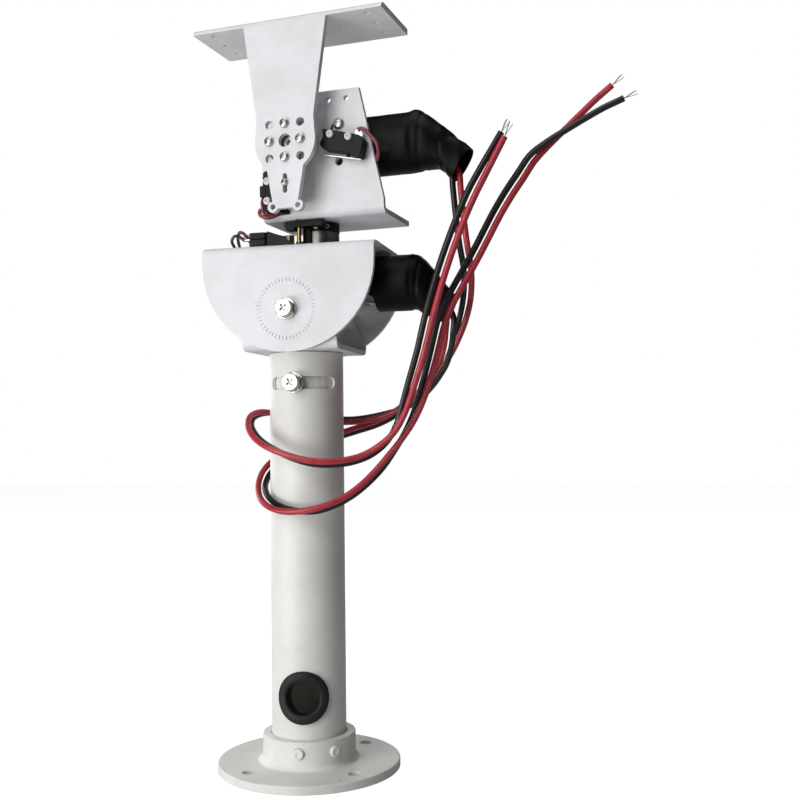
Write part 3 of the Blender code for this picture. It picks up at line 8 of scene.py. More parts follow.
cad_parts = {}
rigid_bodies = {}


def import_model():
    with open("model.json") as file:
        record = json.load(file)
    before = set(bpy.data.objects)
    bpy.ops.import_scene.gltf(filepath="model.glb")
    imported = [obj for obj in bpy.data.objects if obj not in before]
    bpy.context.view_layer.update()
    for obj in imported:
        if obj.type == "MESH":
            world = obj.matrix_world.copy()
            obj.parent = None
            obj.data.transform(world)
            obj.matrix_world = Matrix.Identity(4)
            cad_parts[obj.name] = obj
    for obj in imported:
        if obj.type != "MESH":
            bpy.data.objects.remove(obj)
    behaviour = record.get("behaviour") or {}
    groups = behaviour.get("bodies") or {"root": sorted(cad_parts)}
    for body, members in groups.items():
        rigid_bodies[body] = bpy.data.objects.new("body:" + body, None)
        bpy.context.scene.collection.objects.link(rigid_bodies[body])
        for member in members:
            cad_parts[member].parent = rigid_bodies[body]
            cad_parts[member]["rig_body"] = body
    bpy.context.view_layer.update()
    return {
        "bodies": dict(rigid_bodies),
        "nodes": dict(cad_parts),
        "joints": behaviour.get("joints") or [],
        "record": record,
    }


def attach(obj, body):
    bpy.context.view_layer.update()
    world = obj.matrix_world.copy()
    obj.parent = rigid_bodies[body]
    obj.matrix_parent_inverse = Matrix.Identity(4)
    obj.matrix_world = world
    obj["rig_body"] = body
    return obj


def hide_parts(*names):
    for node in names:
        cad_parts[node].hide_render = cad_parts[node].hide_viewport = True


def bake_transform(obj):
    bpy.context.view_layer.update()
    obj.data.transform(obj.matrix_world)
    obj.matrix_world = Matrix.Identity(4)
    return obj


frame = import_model()
nodes = frame["nodes"]
mm = 0.001

# ---- camera ----
photoCamera = {
    "place": (0.16930, -0.48515, 0.15694),
    "aimFlat": (-0.2441, 0.9697),
    "pitch": 2.19,   # degrees upwards
    "roll": -0.65,
    "lens": 46.94,
}


def makeCamera():
    data = bpy.data.cameras.new("photoCamera")
    data.lens = photoCamera["lens"]
    data.sensor_width = 36.0
    data.dof.use_dof = False
    camera = bpy.data.objects.new("photoCamera", data)
    bpy.context.scene.collection.objects.link(camera)
    rise = math.radians(photoCamera["pitch"])
    flat = Vector((*photoCamera["aimFlat"], 0.0)).normalized() * math.cos(rise)
    aim = flat + Vector((0.0, 0.0, math.sin(rise)))
    turn = aim.to_track_quat("-Z", "Y").to_matrix().to_4x4()
    roll = Matrix.Rotation(math.radians(photoCamera["roll"]), 4, "Z")
    camera.matrix_world = Matrix.Translation(photoCamera["place"]) @ turn @ roll
    bpy.context.scene.camera = camera


makeCamera()
print("camera placed")


# ---- materials ----
def linear(hexColour):  # sRGB hex to the linear values that shaders take
    parts = [int(hexColour[i:i + 2], 16) / 255 for i in (1, 3, 5)]
    return (*[p / 12.92 if p <= 0.04045 else ((p + 0.055) / 1.055) ** 2.4 for p in parts], 1.0)


def addNode(tree, kind, settings=None, links=None):
    made = tree.nodes.new(kind)
    for key, value in (settings or {}).items():
        if isinstance(key, int) or key in made.inputs:
            made.inputs[key].default_value = value
        else:
            setattr(made, key, value)
    for key, source in (links or {}).items():
        tree.links.new(source, made.inputs[key])
    return made


def startMaterial(name, settings):
    material = bpy.data.materials.new(name)
    material.use_nodes = True
    tree = material.node_tree
    tree.nodes.clear()
    shader = addNode(tree, "ShaderNodeBsdfPrincipled", settings)
    addNode(tree, "ShaderNodeOutputMaterial", None, {"Surface": shader.outputs[0]})
    place = addNode(tree, "ShaderNodeTexCoord").outputs["Object"]
    return {"material": material, "tree": tree, "shader": shader, "place": place}


def noiseAt(skin, size, detail=2.0, roughness=0.5, stretch=(1, 1, 1)):  # size in millimetres
    spread = addNode(skin["tree"], "ShaderNodeMapping", {"Scale": [s / (size * mm) for s in stretch]},
                     {"Vector": skin["place"]})
    settings = {"Scale": 1.0, "Detail": detail, "Roughness": roughness}
    return addNode(skin["tree"], "ShaderNodeTexNoise", settings, {"Vector": spread.outputs[0]}).outputs["Fac"]


def colourBetween(skin, amount, dark, light, low=0.3, high=0.7):
    ramp = addNode(skin["tree"], "ShaderNodeValToRGB", None, {"Fac": amount})
    for element, position, colour in zip(ramp.color_ramp.elements, (low, high), (dark, light)):
        element.position = position
        element.color = linear(colour)
    return ramp.outputs["Color"]


def roughBetween(skin, amount, low, high):
    settings = {"To Min": low, "To Max": high}
    return addNode(skin["tree"], "ShaderNodeMapRange", settings, {"Value": amount}).outputs[0]


def bumpFrom(skin, height, distance, strength, under=None):  # distance in millimetres
    links = {"Height": height, "Normal": under} if under else {"Height": height}
    settings = {"Distance": distance * mm, "Strength": strength}
    return addNode(skin["tree"], "ShaderNodeBump", settings, links).outputs[0]


def finished(skin, colour, rough, bump=None):  # each is what the function of its name takes after skin
    sources = {"Base Color": colourBetween(skin, *colour), "Roughness": roughBetween(skin, *rough)}
    if bump:
        sources["Normal"] = bumpFrom(skin, *bump)
    for socket, source in sources.items():
        skin["tree"].links.new(source, skin["shader"].inputs[socket])
    return skin["material"]


chips = {  # size in millimetres, the two heights in metres, then the noise from which they show
    "colour": "#5A564F", "size": 2.6, "lowest": 0.006, "highest": 0.012, "from": 0.775, "full": 0.79,
}


def addChips(skin):  # small grey specks, only low down where feet and tools reach
    tree, socket = skin["tree"], skin["shader"].inputs["Base Color"]
    colour = socket.links[0].from_socket
    height = addNode(tree, "ShaderNodeSeparateXYZ", None, {0: skin["place"]}).outputs["Z"]
    low = addNode(tree, "ShaderNodeMapRange", {"From Min": chips["highest"], "From Max": chips["lowest"]},
                  {"Value": height})
    speck = addNode(tree, "ShaderNodeMapRange", {"From Min": chips["from"], "From Max": chips["full"]},
                    {"Value": noiseAt(skin, chips["size"], 1.0, 0.5)})
    both = addNode(tree, "ShaderNodeMath", {"operation": "MULTIPLY"},
                   {0: low.outputs[0], 1: speck.outputs[0]})
    mixed = addNode(tree, "ShaderNodeMix", {"data_type": "RGBA", 7: linear(chips["colour"])},
                    {0: both.outputs[0], 6: colour})
    tree.links.new(mixed.outputs[2], socket)


def makePowderCoat(name, dark, light, worn=False):  # polyester powder on steel: satin white, fine orange peel
    skin = startMaterial(name, {"IOR": 1.5})
    peel, grain = noiseAt(skin, 1.3, 2.0, 0.45), noiseAt(skin, 0.35, 1.0)
    handled = noiseAt(skin, 22, 4.0, 0.62)  # grey film that handling leaves
    material = finished(skin, (handled, dark, light, 0.36, 0.62), (handled, 0.50, 0.38),
                        (grain, 0.006, 0.35, bumpFrom(skin, peel, 0.03, 0.55)))
    if worn:
        addChips(skin)
    return material


def makeZincPlate():  # bright zinc plate on rolled or pressed steel: pale grey metal, softly brushed
    skin = startMaterial("zincPlatedSteel", {"Metallic": 1.0})
    streak, patch = noiseAt(skin, 0.5, 3.0, 0.6, (1, 4, 1)), noiseAt(skin, 3, 2.0)
    return finished(skin, (patch, "#B9B7B0", "#D2D0CA"), (streak, 0.22, 0.42), (streak, 0.01, 0.4))


def makeTurnedSteel():  # turned bar and pressed can, oiled and unplated: darker grey with fine tool lines
    skin = startMaterial("turnedSteel", {"Metallic": 1.0})
    lines, stain = noiseAt(skin, 0.6, 2.0, 0.5, (0.15, 0.15, 3)), noiseAt(skin, 7, 4.0, 0.6)
    return finished(skin, (stain, "#6B6761", "#96928C"), (lines, 0.28, 0.46), (lines, 0.012, 0.4))


def makeBrass():  # turned free-cutting brass, a little dull from handling
    skin = startMaterial("turnedBrass", {"Metallic": 1.0})
    lines = noiseAt(skin, 0.4, 2.0, 0.5, (0.2, 0.2, 3))
    return finished(skin, (lines, "#A68A4C", "#CDB271"), (lines, 0.22, 0.38))


def makeRubber():  # moulded black rubber: nearly matt, with a faint grey bloom
    skin = startMaterial("mouldedRubber", {"IOR": 1.5, "Specular IOR Level": 0.4})
    bloom, grain = noiseAt(skin, 4, 4.0, 0.6), noiseAt(skin, 0.5, 2.0)
    return finished(skin, (bloom, "#0E0F10", "#1C1E20"), (grain, 0.5, 0.72), (grain, 0.02, 0.5))


def makeShrinkTube():  # heat-shrunk polyolefin tube: green-black satin, slightly uneven where it was heated
    skin = startMaterial("shrunkPolyolefin", {"IOR": 1.5, "Specular IOR Level": 0.14})
    uneven, face = noiseAt(skin, 9, 3.0, 0.55), noiseAt(skin, 1.1, 2.0)
    return finished(skin, (uneven, "#030606", "#070B0B"), (uneven, 0.38, 0.56),
                    (face, 0.015, 0.5, bumpFrom(skin, uneven, 0.5, 0.5)))


def makeSwitchPlastic():  # glass-filled thermoset, moulded black with a soft sheen
    skin = startMaterial("mouldedSwitchPlastic", {"IOR": 1.5, "Specular IOR Level": 0.18})
    speck = noiseAt(skin, 0.5, 3.0, 0.6)
    return finished(skin, (speck, "#070708", "#0E0E10"), (speck, 0.30, 0.48), (speck, 0.01, 0.5))


def makeInsulation(name, dark, light, gloss):  # extruded soft PVC: even colour with a wet-looking sheen
    skin = startMaterial(name, {"IOR": 1.52})
    shade, face = noiseAt(skin, 6, 2.0), noiseAt(skin, 0.7, 2.0)
    return finished(skin, (shade, dark, light), (face, gloss - 0.05, gloss + 0.08), (face, 0.01, 0.5))


def makeTinnedCopper():  # stranded copper, tinned: grey metal with copper showing through
    skin = startMaterial("tinnedCopper", {"Metallic": 1.0})
    worn = noiseAt(skin, 0.8, 2.0)
    return finished(skin, (worn, "#7A6A60", "#A39C95"), (worn, 0.3, 0.5))


finishes = {
    "powder_coat": makePowderCoat("whitePowderCoat", "#DCDCDF", "#E6E5E9"),
    "baseCoat": makePowderCoat("basePowderCoat", "#DEDDD9", "#E7E6E2", True),
    "zinc_plate": makeZincPlate(),
    "plain_steel": makeTurnedSteel(),
    "brass": makeBrass(),
    "rubber": makeRubber(),
    "shrink_sleeve": makeShrinkTube(),
    "switch_case": makeSwitchPlastic(),
    "red_insulation": makeInsulation("redInsulation", "#A42733", "#BA3642", 0.34),
    "black_insulation": makeInsulation("blackInsulation", "#120F0E", "#1D1917", 0.36),
    "tinned": makeTinnedCopper(),
    "wireRed": makeInsulation("switchWireInsulation", "#5E1F26", "#8A4048", 0.42),
}
slotOf = {part["node"]: part["material_slot"] for part in frame["record"]["subparts"]}
print("materials made")


dressed = set()
head = {
    "panX": 0.0085, "yaw": -5.4, "tiltX": -0.0062, "tiltHeight": 0.2983, "front": -0.0152,
    "cradleTop": 0.2496,
}


def turned(angle):
    return Matrix.Rotation(math.radians(angle), 4, "Z")


def newObject(name, data):
    made = bpy.data.objects.new(name, data)
    bpy.context.scene.collection.objects.link(made)
    return made


def baked(shown):  # an object's final mesh; the object goes
    mesh = bpy.data.meshes.new_from_object(shown.evaluated_get(bpy.context.evaluated_depsgraph_get()))
    bpy.data.objects.remove(shown, do_unlink=True)
    return mesh


headFrame = Matrix.Translation((head["panX"], 0, 0)) @ turned(head["yaw"])
worldFrame = Matrix.Identity(4)
upright = Matrix.Rotation(math.pi / 2, 4, "X")


# ---- leads ----
def smoothRoute(points, step):  # even points on a Catmull-Rom curve through the route
    route = [Vector(p) for p in points]
    route = [route[0] * 2 - route[1], *route, route[-1] * 2 - route[-2]]
    fine = []
    for a, b, c, d in zip(route, route[1:], route[2:], route[3:]):
        for i in range(24):
            t = i / 24
            fine.append(0.5 * (2 * b + (c - a) * t + (2 * a - 5 * b + 4 * c - d) * t * t
                               + (3 * b - a - 3 * c + d) * t * t * t))
    fine.append(route[-2])
    total = sum((q - p).length for p, q in zip(fine, fine[1:]))
    count = max(2, round(total / step))
    even, run, target = [fine[0]], 0.0, total / count
    for p, q in zip(fine, fine[1:]):
        length = (q - p).length
        while run + length >= target - 1e-9 and len(even) < count:
            even.append(p.lerp(q, (target - run) / length))
            target += total / count
        run += length
    return even + [fine[-1]]


def pathLength(points):
    return sum((q - p).length for p, q in zip(points, points[1:]))


def tubeMesh(name, points, diameter, sides):  # a round tube along points, as a mesh
    curve = bpy.data.curves.new(name, "CURVE")
    curve.dimensions = "3D"
    curve.bevel_depth = diameter / 2
    curve.bevel_resolution = sides
    curve.use_fill_caps = True
    spline = curve.splines.new("POLY")
    spline.points.add(len(points) - 1)
    for control, point in zip(spline.points, points):
        control.co = (*point, 1.0)
    shown = newObject(name, curve)
    bpy.context.view_layer.update()
    mesh = baked(shown)
    bpy.data.curves.remove(curve)
    mesh.name = name
    return mesh


def addPiece(name, mesh, slotName, finish=None):
    mesh.materials.clear()
    mesh.materials.append(finish or finishes[slotName])
    made = newObject(name, mesh)
    return made


leads = {  # a lead's route is the middle of its pair, and twist is the pair's turn at shares of the length
    "diameter": 0.003, "pitch": 0.0036, "step": 0.0096, "fineStep": 0.0022,
    "facing": (math.sin(math.radians(14)), -math.cos(math.radians(14)), 0.0),
    "mouthPoint": 8, "upperEnd": -4, "lowerEnd": 22,  # points of the fine path where blends start or end
    "tilt": {
        "split": 0.2267,
        "inside": [(0.0724, -0.0039, 0.2890), (0.0749, -0.0043, 0.2860), (0.0766, -0.0045, 0.2825),
                   (0.0770, -0.0047, 0.2795)],
        "twist": [
            (0.0, 180.0), (0.11, 180.0), (0.21, 60.0), (0.33, 60.0), (0.42, 5.0),
            (0.47, 5.0), (0.55, 115.0), (0.63, 115.0), (0.71, 35.0), (0.80, 8.0),
            (0.92, 8.0), (0.97, -60.0), (1.0, -90.0)],
        "route": [
            (0.0771, -0.0048, 0.2768), (0.0776, -0.0040, 0.2687), (0.0789, -0.0010, 0.2516),
            (0.0797, 0.0060, 0.2387), (0.0783, 0.0125, 0.2267), (0.0743, 0.0175, 0.2139),
            (0.0651, 0.0245, 0.1963), (0.0505, 0.0318, 0.1815), (0.0301, 0.0368, 0.1678),
            (0.0083, 0.0365, 0.1608), (-0.0115, 0.0280, 0.1538), (-0.0230, 0.0117, 0.1445),
            (-0.0225, -0.0034, 0.1353), (-0.0144, -0.0170, 0.1285), (-0.0033, -0.0240, 0.1249),
            (0.0109, -0.0251, 0.1247), (0.0249, -0.0195, 0.1298), (0.0374, -0.0133, 0.1405),
            (0.0487, -0.0094, 0.1555), (0.0566, -0.0095, 0.1685), (0.0639, -0.0128, 0.1866),
            (0.0696, -0.0186, 0.2025), (0.0737, -0.0217, 0.2140), (0.0813, -0.0218, 0.2277),
            (0.0886, -0.0200, 0.2409), (0.1019, -0.0177, 0.2656), (0.1182, -0.0156, 0.2877),
            (0.1327, -0.0140, 0.2992)],
        "redEnd": [
            (0.1421, -0.0120, 0.3088), (0.1502, -0.0120, 0.3153)],
        "blackEnd": [
            (0.1422, -0.0165, 0.3019), (0.1554, -0.0160, 0.3076)],
    },
    "pan": {
        "split": None,
        "inside": [(0.0665, 0.0, 0.2235), (0.0692, 0.0003, 0.2205), (0.0713, 0.0006, 0.2170),
                   (0.0722, 0.0008, 0.2135)],
        "twist": [
            (0.0, 0.0), (0.08, 0.0), (0.18, 115.0), (0.28, 115.0), (0.38, 75.0), (0.44, 75.0),
            (0.52, 115.0), (0.60, 115.0), (0.68, 35.0), (0.80, 8.0), (1.0, 8.0)],
        "route": [
            (0.0718, 0.0010, 0.2104), (0.0706, 0.0038, 0.2055), (0.0677, 0.0088, 0.1963),
            (0.0583, 0.0167, 0.1848), (0.0451, 0.0248, 0.1744), (0.0282, 0.0275, 0.1688),
            (0.0105, 0.0262, 0.1670), (-0.0084, 0.0226, 0.1698), (-0.0217, 0.0100, 0.1712),
            (-0.0262, -0.0025, 0.1701), (-0.0245, -0.0134, 0.1647), (-0.0170, -0.0218, 0.1579),
            (-0.0071, -0.0265, 0.1530), (0.0076, -0.0275, 0.1478), (0.0194, -0.0240, 0.1466),
            (0.0316, -0.0178, 0.1485), (0.0434, -0.0148, 0.1556), (0.0505, -0.0151, 0.1657),
            (0.0557, -0.0178, 0.1784), (0.0636, -0.0251, 0.1975), (0.0693, -0.0305, 0.2146),
            (0.0766, -0.0320, 0.2365), (0.0861, -0.0325, 0.2597), (0.0961, -0.0325, 0.2788),
            (0.1006, -0.0324, 0.2873)],
        "redEnd": [
            (0.1044, -0.0335, 0.2898)],
        "blackEnd": [
            (0.1025, -0.0308, 0.2925)],
    },
}


def twistAt(twist, share):  # degrees, between the listed shares of the length
    for (low, first), (high, last) in zip(twist, twist[1:]):
        if share <= high:
            return first + (last - first) * (share - low) / (high - low)
    return twist[-1][1]


def conductorPath(lead, colour):  # the same points as the CAD lead, then finer
    facing = Vector(leads["facing"])
    offset = leads["pitch"] / 2 if colour == "red" else -leads["pitch"] / 2
    middle = smoothRoute(lead["route"], leads["step"])
    last = len(middle) - 1
    points = []
    for i, point in enumerate(middle):
        run = (middle[min(i + 1, last)] - middle[max(i - 1, 0)]).normalized()
        side = run.cross(facing).normalized()
        turn = math.radians(twistAt(lead["twist"], i / last))
        points.append(point + (side * math.cos(turn) + side.cross(run) * math.sin(turn)) * offset)
    ends = [Vector(p) for p in lead[colour + "End"]]
    shift = points[0] - middle[0]
    inside = [Vector(p) + shift for p in lead["inside"]]  # up into the sleeve, past the CAD lead's start
    return smoothRoute(inside + smoothRoute(points[:-2] + ends, leads["step"]), leads["fineStep"])


bareStrands = {
    "reach": 0.0068, "tucked": 0.0006, "spread": 0.0014, "curl": 0.0012, "diameter": 0.00032, "step": 0.0005,
    "bends": ((0.9, 0.4), (-0.5, 1.0), (0.2, -0.8)),
}


def strandPieces(name, path):  # bare twisted strands past the cut insulation
    tip, run = path[-1], (path[-1] - path[-3]).normalized()
    across = run.cross(Vector((0, 0, 1))).normalized()
    lift = across.cross(run)
    made = []
    for i, (bend, curl) in enumerate(bareStrands["bends"]):
        points = []
        for t in [k / 8 for k in range(9)]:
            points.append(tip + run * (bareStrands["reach"] * t - bareStrands["tucked"])
                          + across * (bareStrands["spread"] * bend * t * t)
                          + lift * (bareStrands["curl"] * curl * math.sin(t * 2.2) * t))
        strand = f"{name}_strand_{i + 1}"
        mesh = tubeMesh(strand, smoothRoute(points, bareStrands["step"]), bareStrands["diameter"], 1)
        made.append(addPiece(strand, mesh, "tinned"))
    return made


def conductor(name, path, colour):
    return addPiece(name, tubeMesh(name, path, leads["diameter"], 5), f"{colour}_insulation")


def makeLead(which, colour):
    lead, node = leads[which], f"{which}_lead_{colour}"
    path = conductorPath(lead, colour)
    mouth, cutAt = leads["mouthPoint"], 0
    if lead["split"]:  # the tilt leads cross the pan joint too, so each is laid in two lengths
        cutAt = next(i for i, p in enumerate(path) if p.z < lead["split"])
        upper = path[:cutAt + 1]
        piece = conductor(f"{node}_upper", upper, colour)
        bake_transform(piece)
        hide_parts(node)
        mouth = 0
    lower = path[cutAt:]
    piece = conductor(f"{node}_lower", lower, colour)
    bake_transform(piece)
    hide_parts(node)
    strands = strandPieces(node, lower)
    for strand in strands:
        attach(strand, "cradle")  # the blend keeps all that is above its start with the cradle
    print(node, "length", round(pathLength(path), 4))


# ---- switch wires ----
wireLaying = {"step": 0.0007, "declaredFrom": 0.0302}
wires = {  # millimetres; the head's own are in its turned frame
    "tiltSwitchRightWire": ("pan_head", "red", 1.9, [
        (27.2, -18.7, 302.3), (28.9, -19.0, 302.5), (31.2, -19.3, 301.3), (33.7, -19.4, 298.5),
        (36.1, -19.2, 295.4), (36.9, -18.4, 292.6), (36.3, -16.6, 290.0), (34.2, -14.0, 287.9),
        (30.6, -11.0, 286.5), (26.5, -9.8, 285.6), (21.9, -9.5, 285.5)]),
    "tiltSwitchLeftWire": ("pan_head", "red", 1.8, [
        (-23.8, -18.9, 269.0), (-24.3, -19.3, 267.0), (-22.8, -19.6, 265.2), (-19.8, -19.6, 264.4),
        (-17.0, -18.4, 265.1), (-15.2, -16.9, 266.2), (-13.6, -16.1, 266.8)]),
    "tiltSwitchLeftWireInner": ("pan_head", "red", 1.6, [
        (-21.6, -18.9, 275.0), (-22.5, -19.7, 272.6), (-22.3, -20.0, 269.6), (-22.2, -19.6, 267.2),
        (-20.4, -18.6, 265.9), (-17.6, -17.6, 266.3), (-15.6, -16.4, 267.4), (-13.8, -16.1, 267.9)]),
    "panSwitchFrontWire": ("cradle", "red", 1.6, [
        (-33.0, 0.4, 246.6), (-33.3, -1.0, 250.6), (-33.0, -5.0, 254.0), (-31.6, -10.0, 256.9),
        (-29.3, -13.6, 258.8), (-27.0, -14.6, 258.3), (-25.4, -14.5, 256.7), (-24.2, -13.9, 254.6),
        (-23.0, -13.7, 253.2)]),
    "panSwitchFrontWireBlack": ("cradle", "black", 1.6, [
        (-34.4, 0.2, 246.6), (-34.9, -2.0, 250.8), (-35.0, -6.6, 253.4), (-33.8, -12.4, 255.0),
        (-30.6, -17.4, 256.2), (-26.8, -20.6, 255.6), (-24.4, -21.4, 254.0), (-23.0, -21.3, 253.2)]),
    "panSwitchRearWire": ("cradle", "red", 1.6, [
        (-31.6, 0.2, 246.6), (-31.2, 1.6, 250.8), (-30.2, 4.2, 254.2), (-27.9, 6.2, 256.2),
        (-25.4, 6.7, 255.4), (-23.0, 6.6, 253.2)]),
    "panSwitchRearWireBlack": ("cradle", "black", 1.6, [
        (-33.0, 2.0, 246.6), (-32.8, 4.0, 250.8), (-31.8, 8.4, 254.4), (-29.2, 12.4, 256.2),
        (-25.6, 14.1, 255.4), (-23.0, 14.2, 253.2)]),
}


def makeWires():
    for name, (body, colour, diameter, route) in wires.items():
        seat = headFrame if body == "pan_head" else worldFrame
        path = smoothRoute([seat @ (Vector(p) * mm) for p in route], wireLaying["step"])
        piece = addPiece(name, tubeMesh(name, path, diameter * mm, 4), f"{colour}_insulation",
                         finishes["wireRed"] if colour == "red" else None)
        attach(piece, body)
        print(name, round(pathLength(path) * 1000, 1), "mm")


for which in ("tilt", "pan"):
    for colour in ("red", "black"):
        makeLead(which, colour)
makeWires()
print("cords laid")


# ---- shapes ----
def spinShape(profile, steps, angle=360.0):  # an outline of (radius, height) spun about Z
    shape = bmesh.new()
    verts = [shape.verts.new((radius, 0, height)) for radius, height in profile]
    edges = [shape.edges.new(pair) for pair in zip(verts, verts[1:])]
    whole = angle == 360.0
    if not whole:
        edges.append(shape.edges.new((verts[-1], verts[0])))
        shape.faces.new(verts)
    bmesh.ops.spin(shape, geom=shape.verts[:] + shape.edges[:] + shape.faces[:], cent=(0, 0, 0),
                   axis=(0, 0, 1), angle=math.radians(angle), steps=steps, use_merge=whole,
                   use_duplicate=False)
    bmesh.ops.remove_doubles(shape, verts=shape.verts, dist=1e-7)
    loose = [edge for edge in shape.edges if not edge.link_faces]
    bmesh.ops.delete(shape, geom=loose, context="EDGES")
    bmesh.ops.recalc_face_normals(shape, faces=shape.faces)
    return shape


def rounded(points, steps=3, closed=False):  # each point may carry the radius of its corner as a third value
    made = []
    for i, point in enumerate(points):
        corner = Vector(point[:2])
        radius = point[2] if len(point) > 2 else 0.0
        if not radius or (not closed and i in (0, len(points) - 1)):
            made.append(tuple(corner))
            continue
        before = Vector(points[i - 1][:2]) - corner
        after = Vector(points[(i + 1) % len(points)][:2]) - corner
        first = corner + before.normalized() * min(radius, before.length * 0.49)
        last = corner + after.normalized() * min(radius, after.length * 0.49)
        for k in range(steps + 1):
            t = k / steps
            made.append(tuple(first.lerp(corner, t).lerp(corner.lerp(last, t), t)))
    return made


def ringOf(profile, steps):  # a closed ring from an outline that stays off the axis
    return spinShape(profile + [profile[0]], steps)


def prismShape(outline, low, high):  # an outline of (x, y) extruded along Z
    shape = bmesh.new()
    face = shape.faces.new([shape.verts.new((x, y, low)) for x, y in outline])
    grown = bmesh.ops.extrude_face_region(shape, geom=[face])["geom"]
    moving = [v for v in grown if isinstance(v, bmesh.types.BMVert)]
    bmesh.ops.translate(shape, verts=moving, vec=(0, 0, high - low))
    bmesh.ops.recalc_face_normals(shape, faces=shape.faces)
    return shape


def inMetres(points):
    return [(point[0] * mm, point[1] * mm, *[r * mm for r in point[2:]]) for point in points]


def roundedPrism(points, low, high, steps=4):  # an outline in millimetres with its corners rounded
    return prismShape(rounded(inMetres(points), steps, True), low, high)


def blockShape(low, high):
    outline = [(low[0], low[1]), (high[0], low[1]), (high[0], high[1]), (low[0], high[1])]
    return prismShape(outline, low[2], high[2])


def polygon(radius, corners, turn=0.0, centre=(0.0, 0.0)):
    turns = [math.radians(turn) + math.tau * i / corners for i in range(corners)]
    return [(centre[0] + radius * math.cos(t), centre[1] + radius * math.sin(t)) for t in turns]


def stripOutline(points, thickness):  # both sides of a bent strip seen edge-on
    left, right = [], []
    for i, point in enumerate(points):
        run = (Vector(points[min(i + 1, len(points) - 1)]) - Vector(points[max(i - 1, 0)])).normalized()
        side = Vector((-run.y, run.x)) * thickness / 2
        left.append(tuple(Vector(point) + side))
        right.append(tuple(Vector(point) - side))
    return left + right[::-1]


def meshOf(shape, name):
    mesh = bpy.data.meshes.new(name)
    shape.to_mesh(mesh)
    shape.free()
    return mesh


def merged(shapes):
    whole = bmesh.new()
    for shape in shapes:
        mesh = meshOf(shape, "part")
        whole.from_mesh(mesh)
        bpy.data.meshes.remove(mesh)
    return whole


def moved(shape, place):
    shape.transform(place)
    return shape


def carved(shape, cutter, operation="DIFFERENCE"):  # a Boolean between two shapes, given back as one
    bodies = [newObject("blank", meshOf(source, "blank")) for source in (shape, cutter)]
    tool = bodies[0].modifiers.new("carve", "BOOLEAN")
    tool.operation = operation
    tool.solver = "EXACT"
    tool.object = bodies[1]
    result = bodies[0].evaluated_get(bpy.context.evaluated_depsgraph_get()).to_mesh()
    made = bmesh.new()
    made.from_mesh(result)
    for body in bodies:
        mesh = body.data
        bpy.data.objects.remove(body, do_unlink=True)
        bpy.data.meshes.remove(mesh)
    return made


def weldedCopy(node):  # a CAD mesh is loose triangles, so the copy is merged into flat faces first
    shape = bmesh.new()
    shape.from_mesh(nodes[node].data)
    bmesh.ops.remove_doubles(shape, verts=shape.verts, dist=1e-6)
    bmesh.ops.dissolve_limit(shape, angle_limit=math.radians(1.0), verts=shape.verts, edges=shape.edges,
                             delimit=set())
    return shape


def easeEdges(shape, width, segments=2, sharper=35, keep=None):
    edges = [e for e in shape.edges if e.is_manifold and e.calc_face_angle(0.0) > math.radians(sharper)
             and not (keep and keep(e))]
    bmesh.ops.bevel(shape, geom=edges, offset=width, offset_type="OFFSET", segments=segments, profile=0.5,
                    affect="EDGES", clamp_overlap=True, material=-1)
    return shape


def wrapRound(shape, radius, turn, strip=0.001):  # drawn flat: x along the arc, y up, z as far as the axis
    low, high = min(v.co.x for v in shape.verts), max(v.co.x for v in shape.verts)
    for i in range(math.ceil(low / strip), math.floor(high / strip) + 1):
        bmesh.ops.bisect_plane(shape, geom=shape.verts[:] + shape.edges[:] + shape.faces[:], dist=1e-7,
                               plane_co=(i * strip, 0, 0), plane_no=(1, 0, 0))
    for vert in shape.verts:
        angle = math.radians(turn) + vert.co.x / radius
        vert.co = (vert.co.z * math.sin(angle), -vert.co.z * math.cos(angle), vert.co.y)
    return shape


def finishShape(name, shape, angle=32, roundAbout=False):  # roundAbout gives a turned wall true normals
    mesh = meshOf(shape, name)
    mesh.shade_smooth()
    mesh.set_sharp_from_angle(angle=math.radians(angle))
    body = newObject(name, mesh)
    tool = body.modifiers.new("weigh", "WEIGHTED_NORMAL")
    tool.keep_sharp = True
    made = baked(body)
    bpy.data.meshes.remove(mesh)
    made.name = name
    if roundAbout:
        normals = [Vector(corner.vector) for corner in made.corner_normals]
        for face in made.polygons:
            for corner in face.loop_indices:
                place = made.vertices[made.loops[corner].vertex_index].co
                out = Vector((place.x, place.y, 0.0)).normalized()
                if abs(face.normal.dot(out)) > 0.985:
                    normals[corner] = out if face.normal.dot(out) > 0 else -out
        made.normals_split_custom_set(normals)
    return made


def standFor(node, shape, angle=32, finish=None, roundAbout=False):  # a detailed piece in a node's place
    mesh = finishShape(f"{node}_detail", shape, angle, roundAbout)
    piece = addPiece(f"{node}_detail", mesh, slotOf[node], finish)
    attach(piece, nodes[node]["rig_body"])
    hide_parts(node)
    dressed.add(node)


def addTo(node, label, shape, slotName):  # a further piece that rides where a node does
    piece = addPiece(f"{node}_{label}", finishShape(f"{node}_{label}", shape), slotName)
    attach(piece, nodes[node]["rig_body"])


def facing(frame, x, y, z):  # a seat that looks to the front: local X right, Y up, Z outwards
    return frame @ Matrix.Translation((x, y, z)) @ upright


def localBox(node, frame):
    inverse = frame.inverted()
    points = [inverse @ v.co for v in nodes[node].data.vertices]
    return [Vector([pick(p[i] for p in points) for i in range(3)]) for pick in (min, max)]


# ---- base flange with its welded collar ----
base = {
    "rim": 0.044, "thickness": 0.004, "collarOuter": 0.0224, "collarBore": 0.0183, "collarTop": 0.017,
    "weld": 0.0021, "weldRipple": 0.00012, "holeCircle": 0.035, "holeRadius": 0.003, "turn": 10.0,
    "studRadius": 0.0025, "studHeight": 0.0118, "studTurns": (6.0, 51.0), "studProud": 0.0012,
}


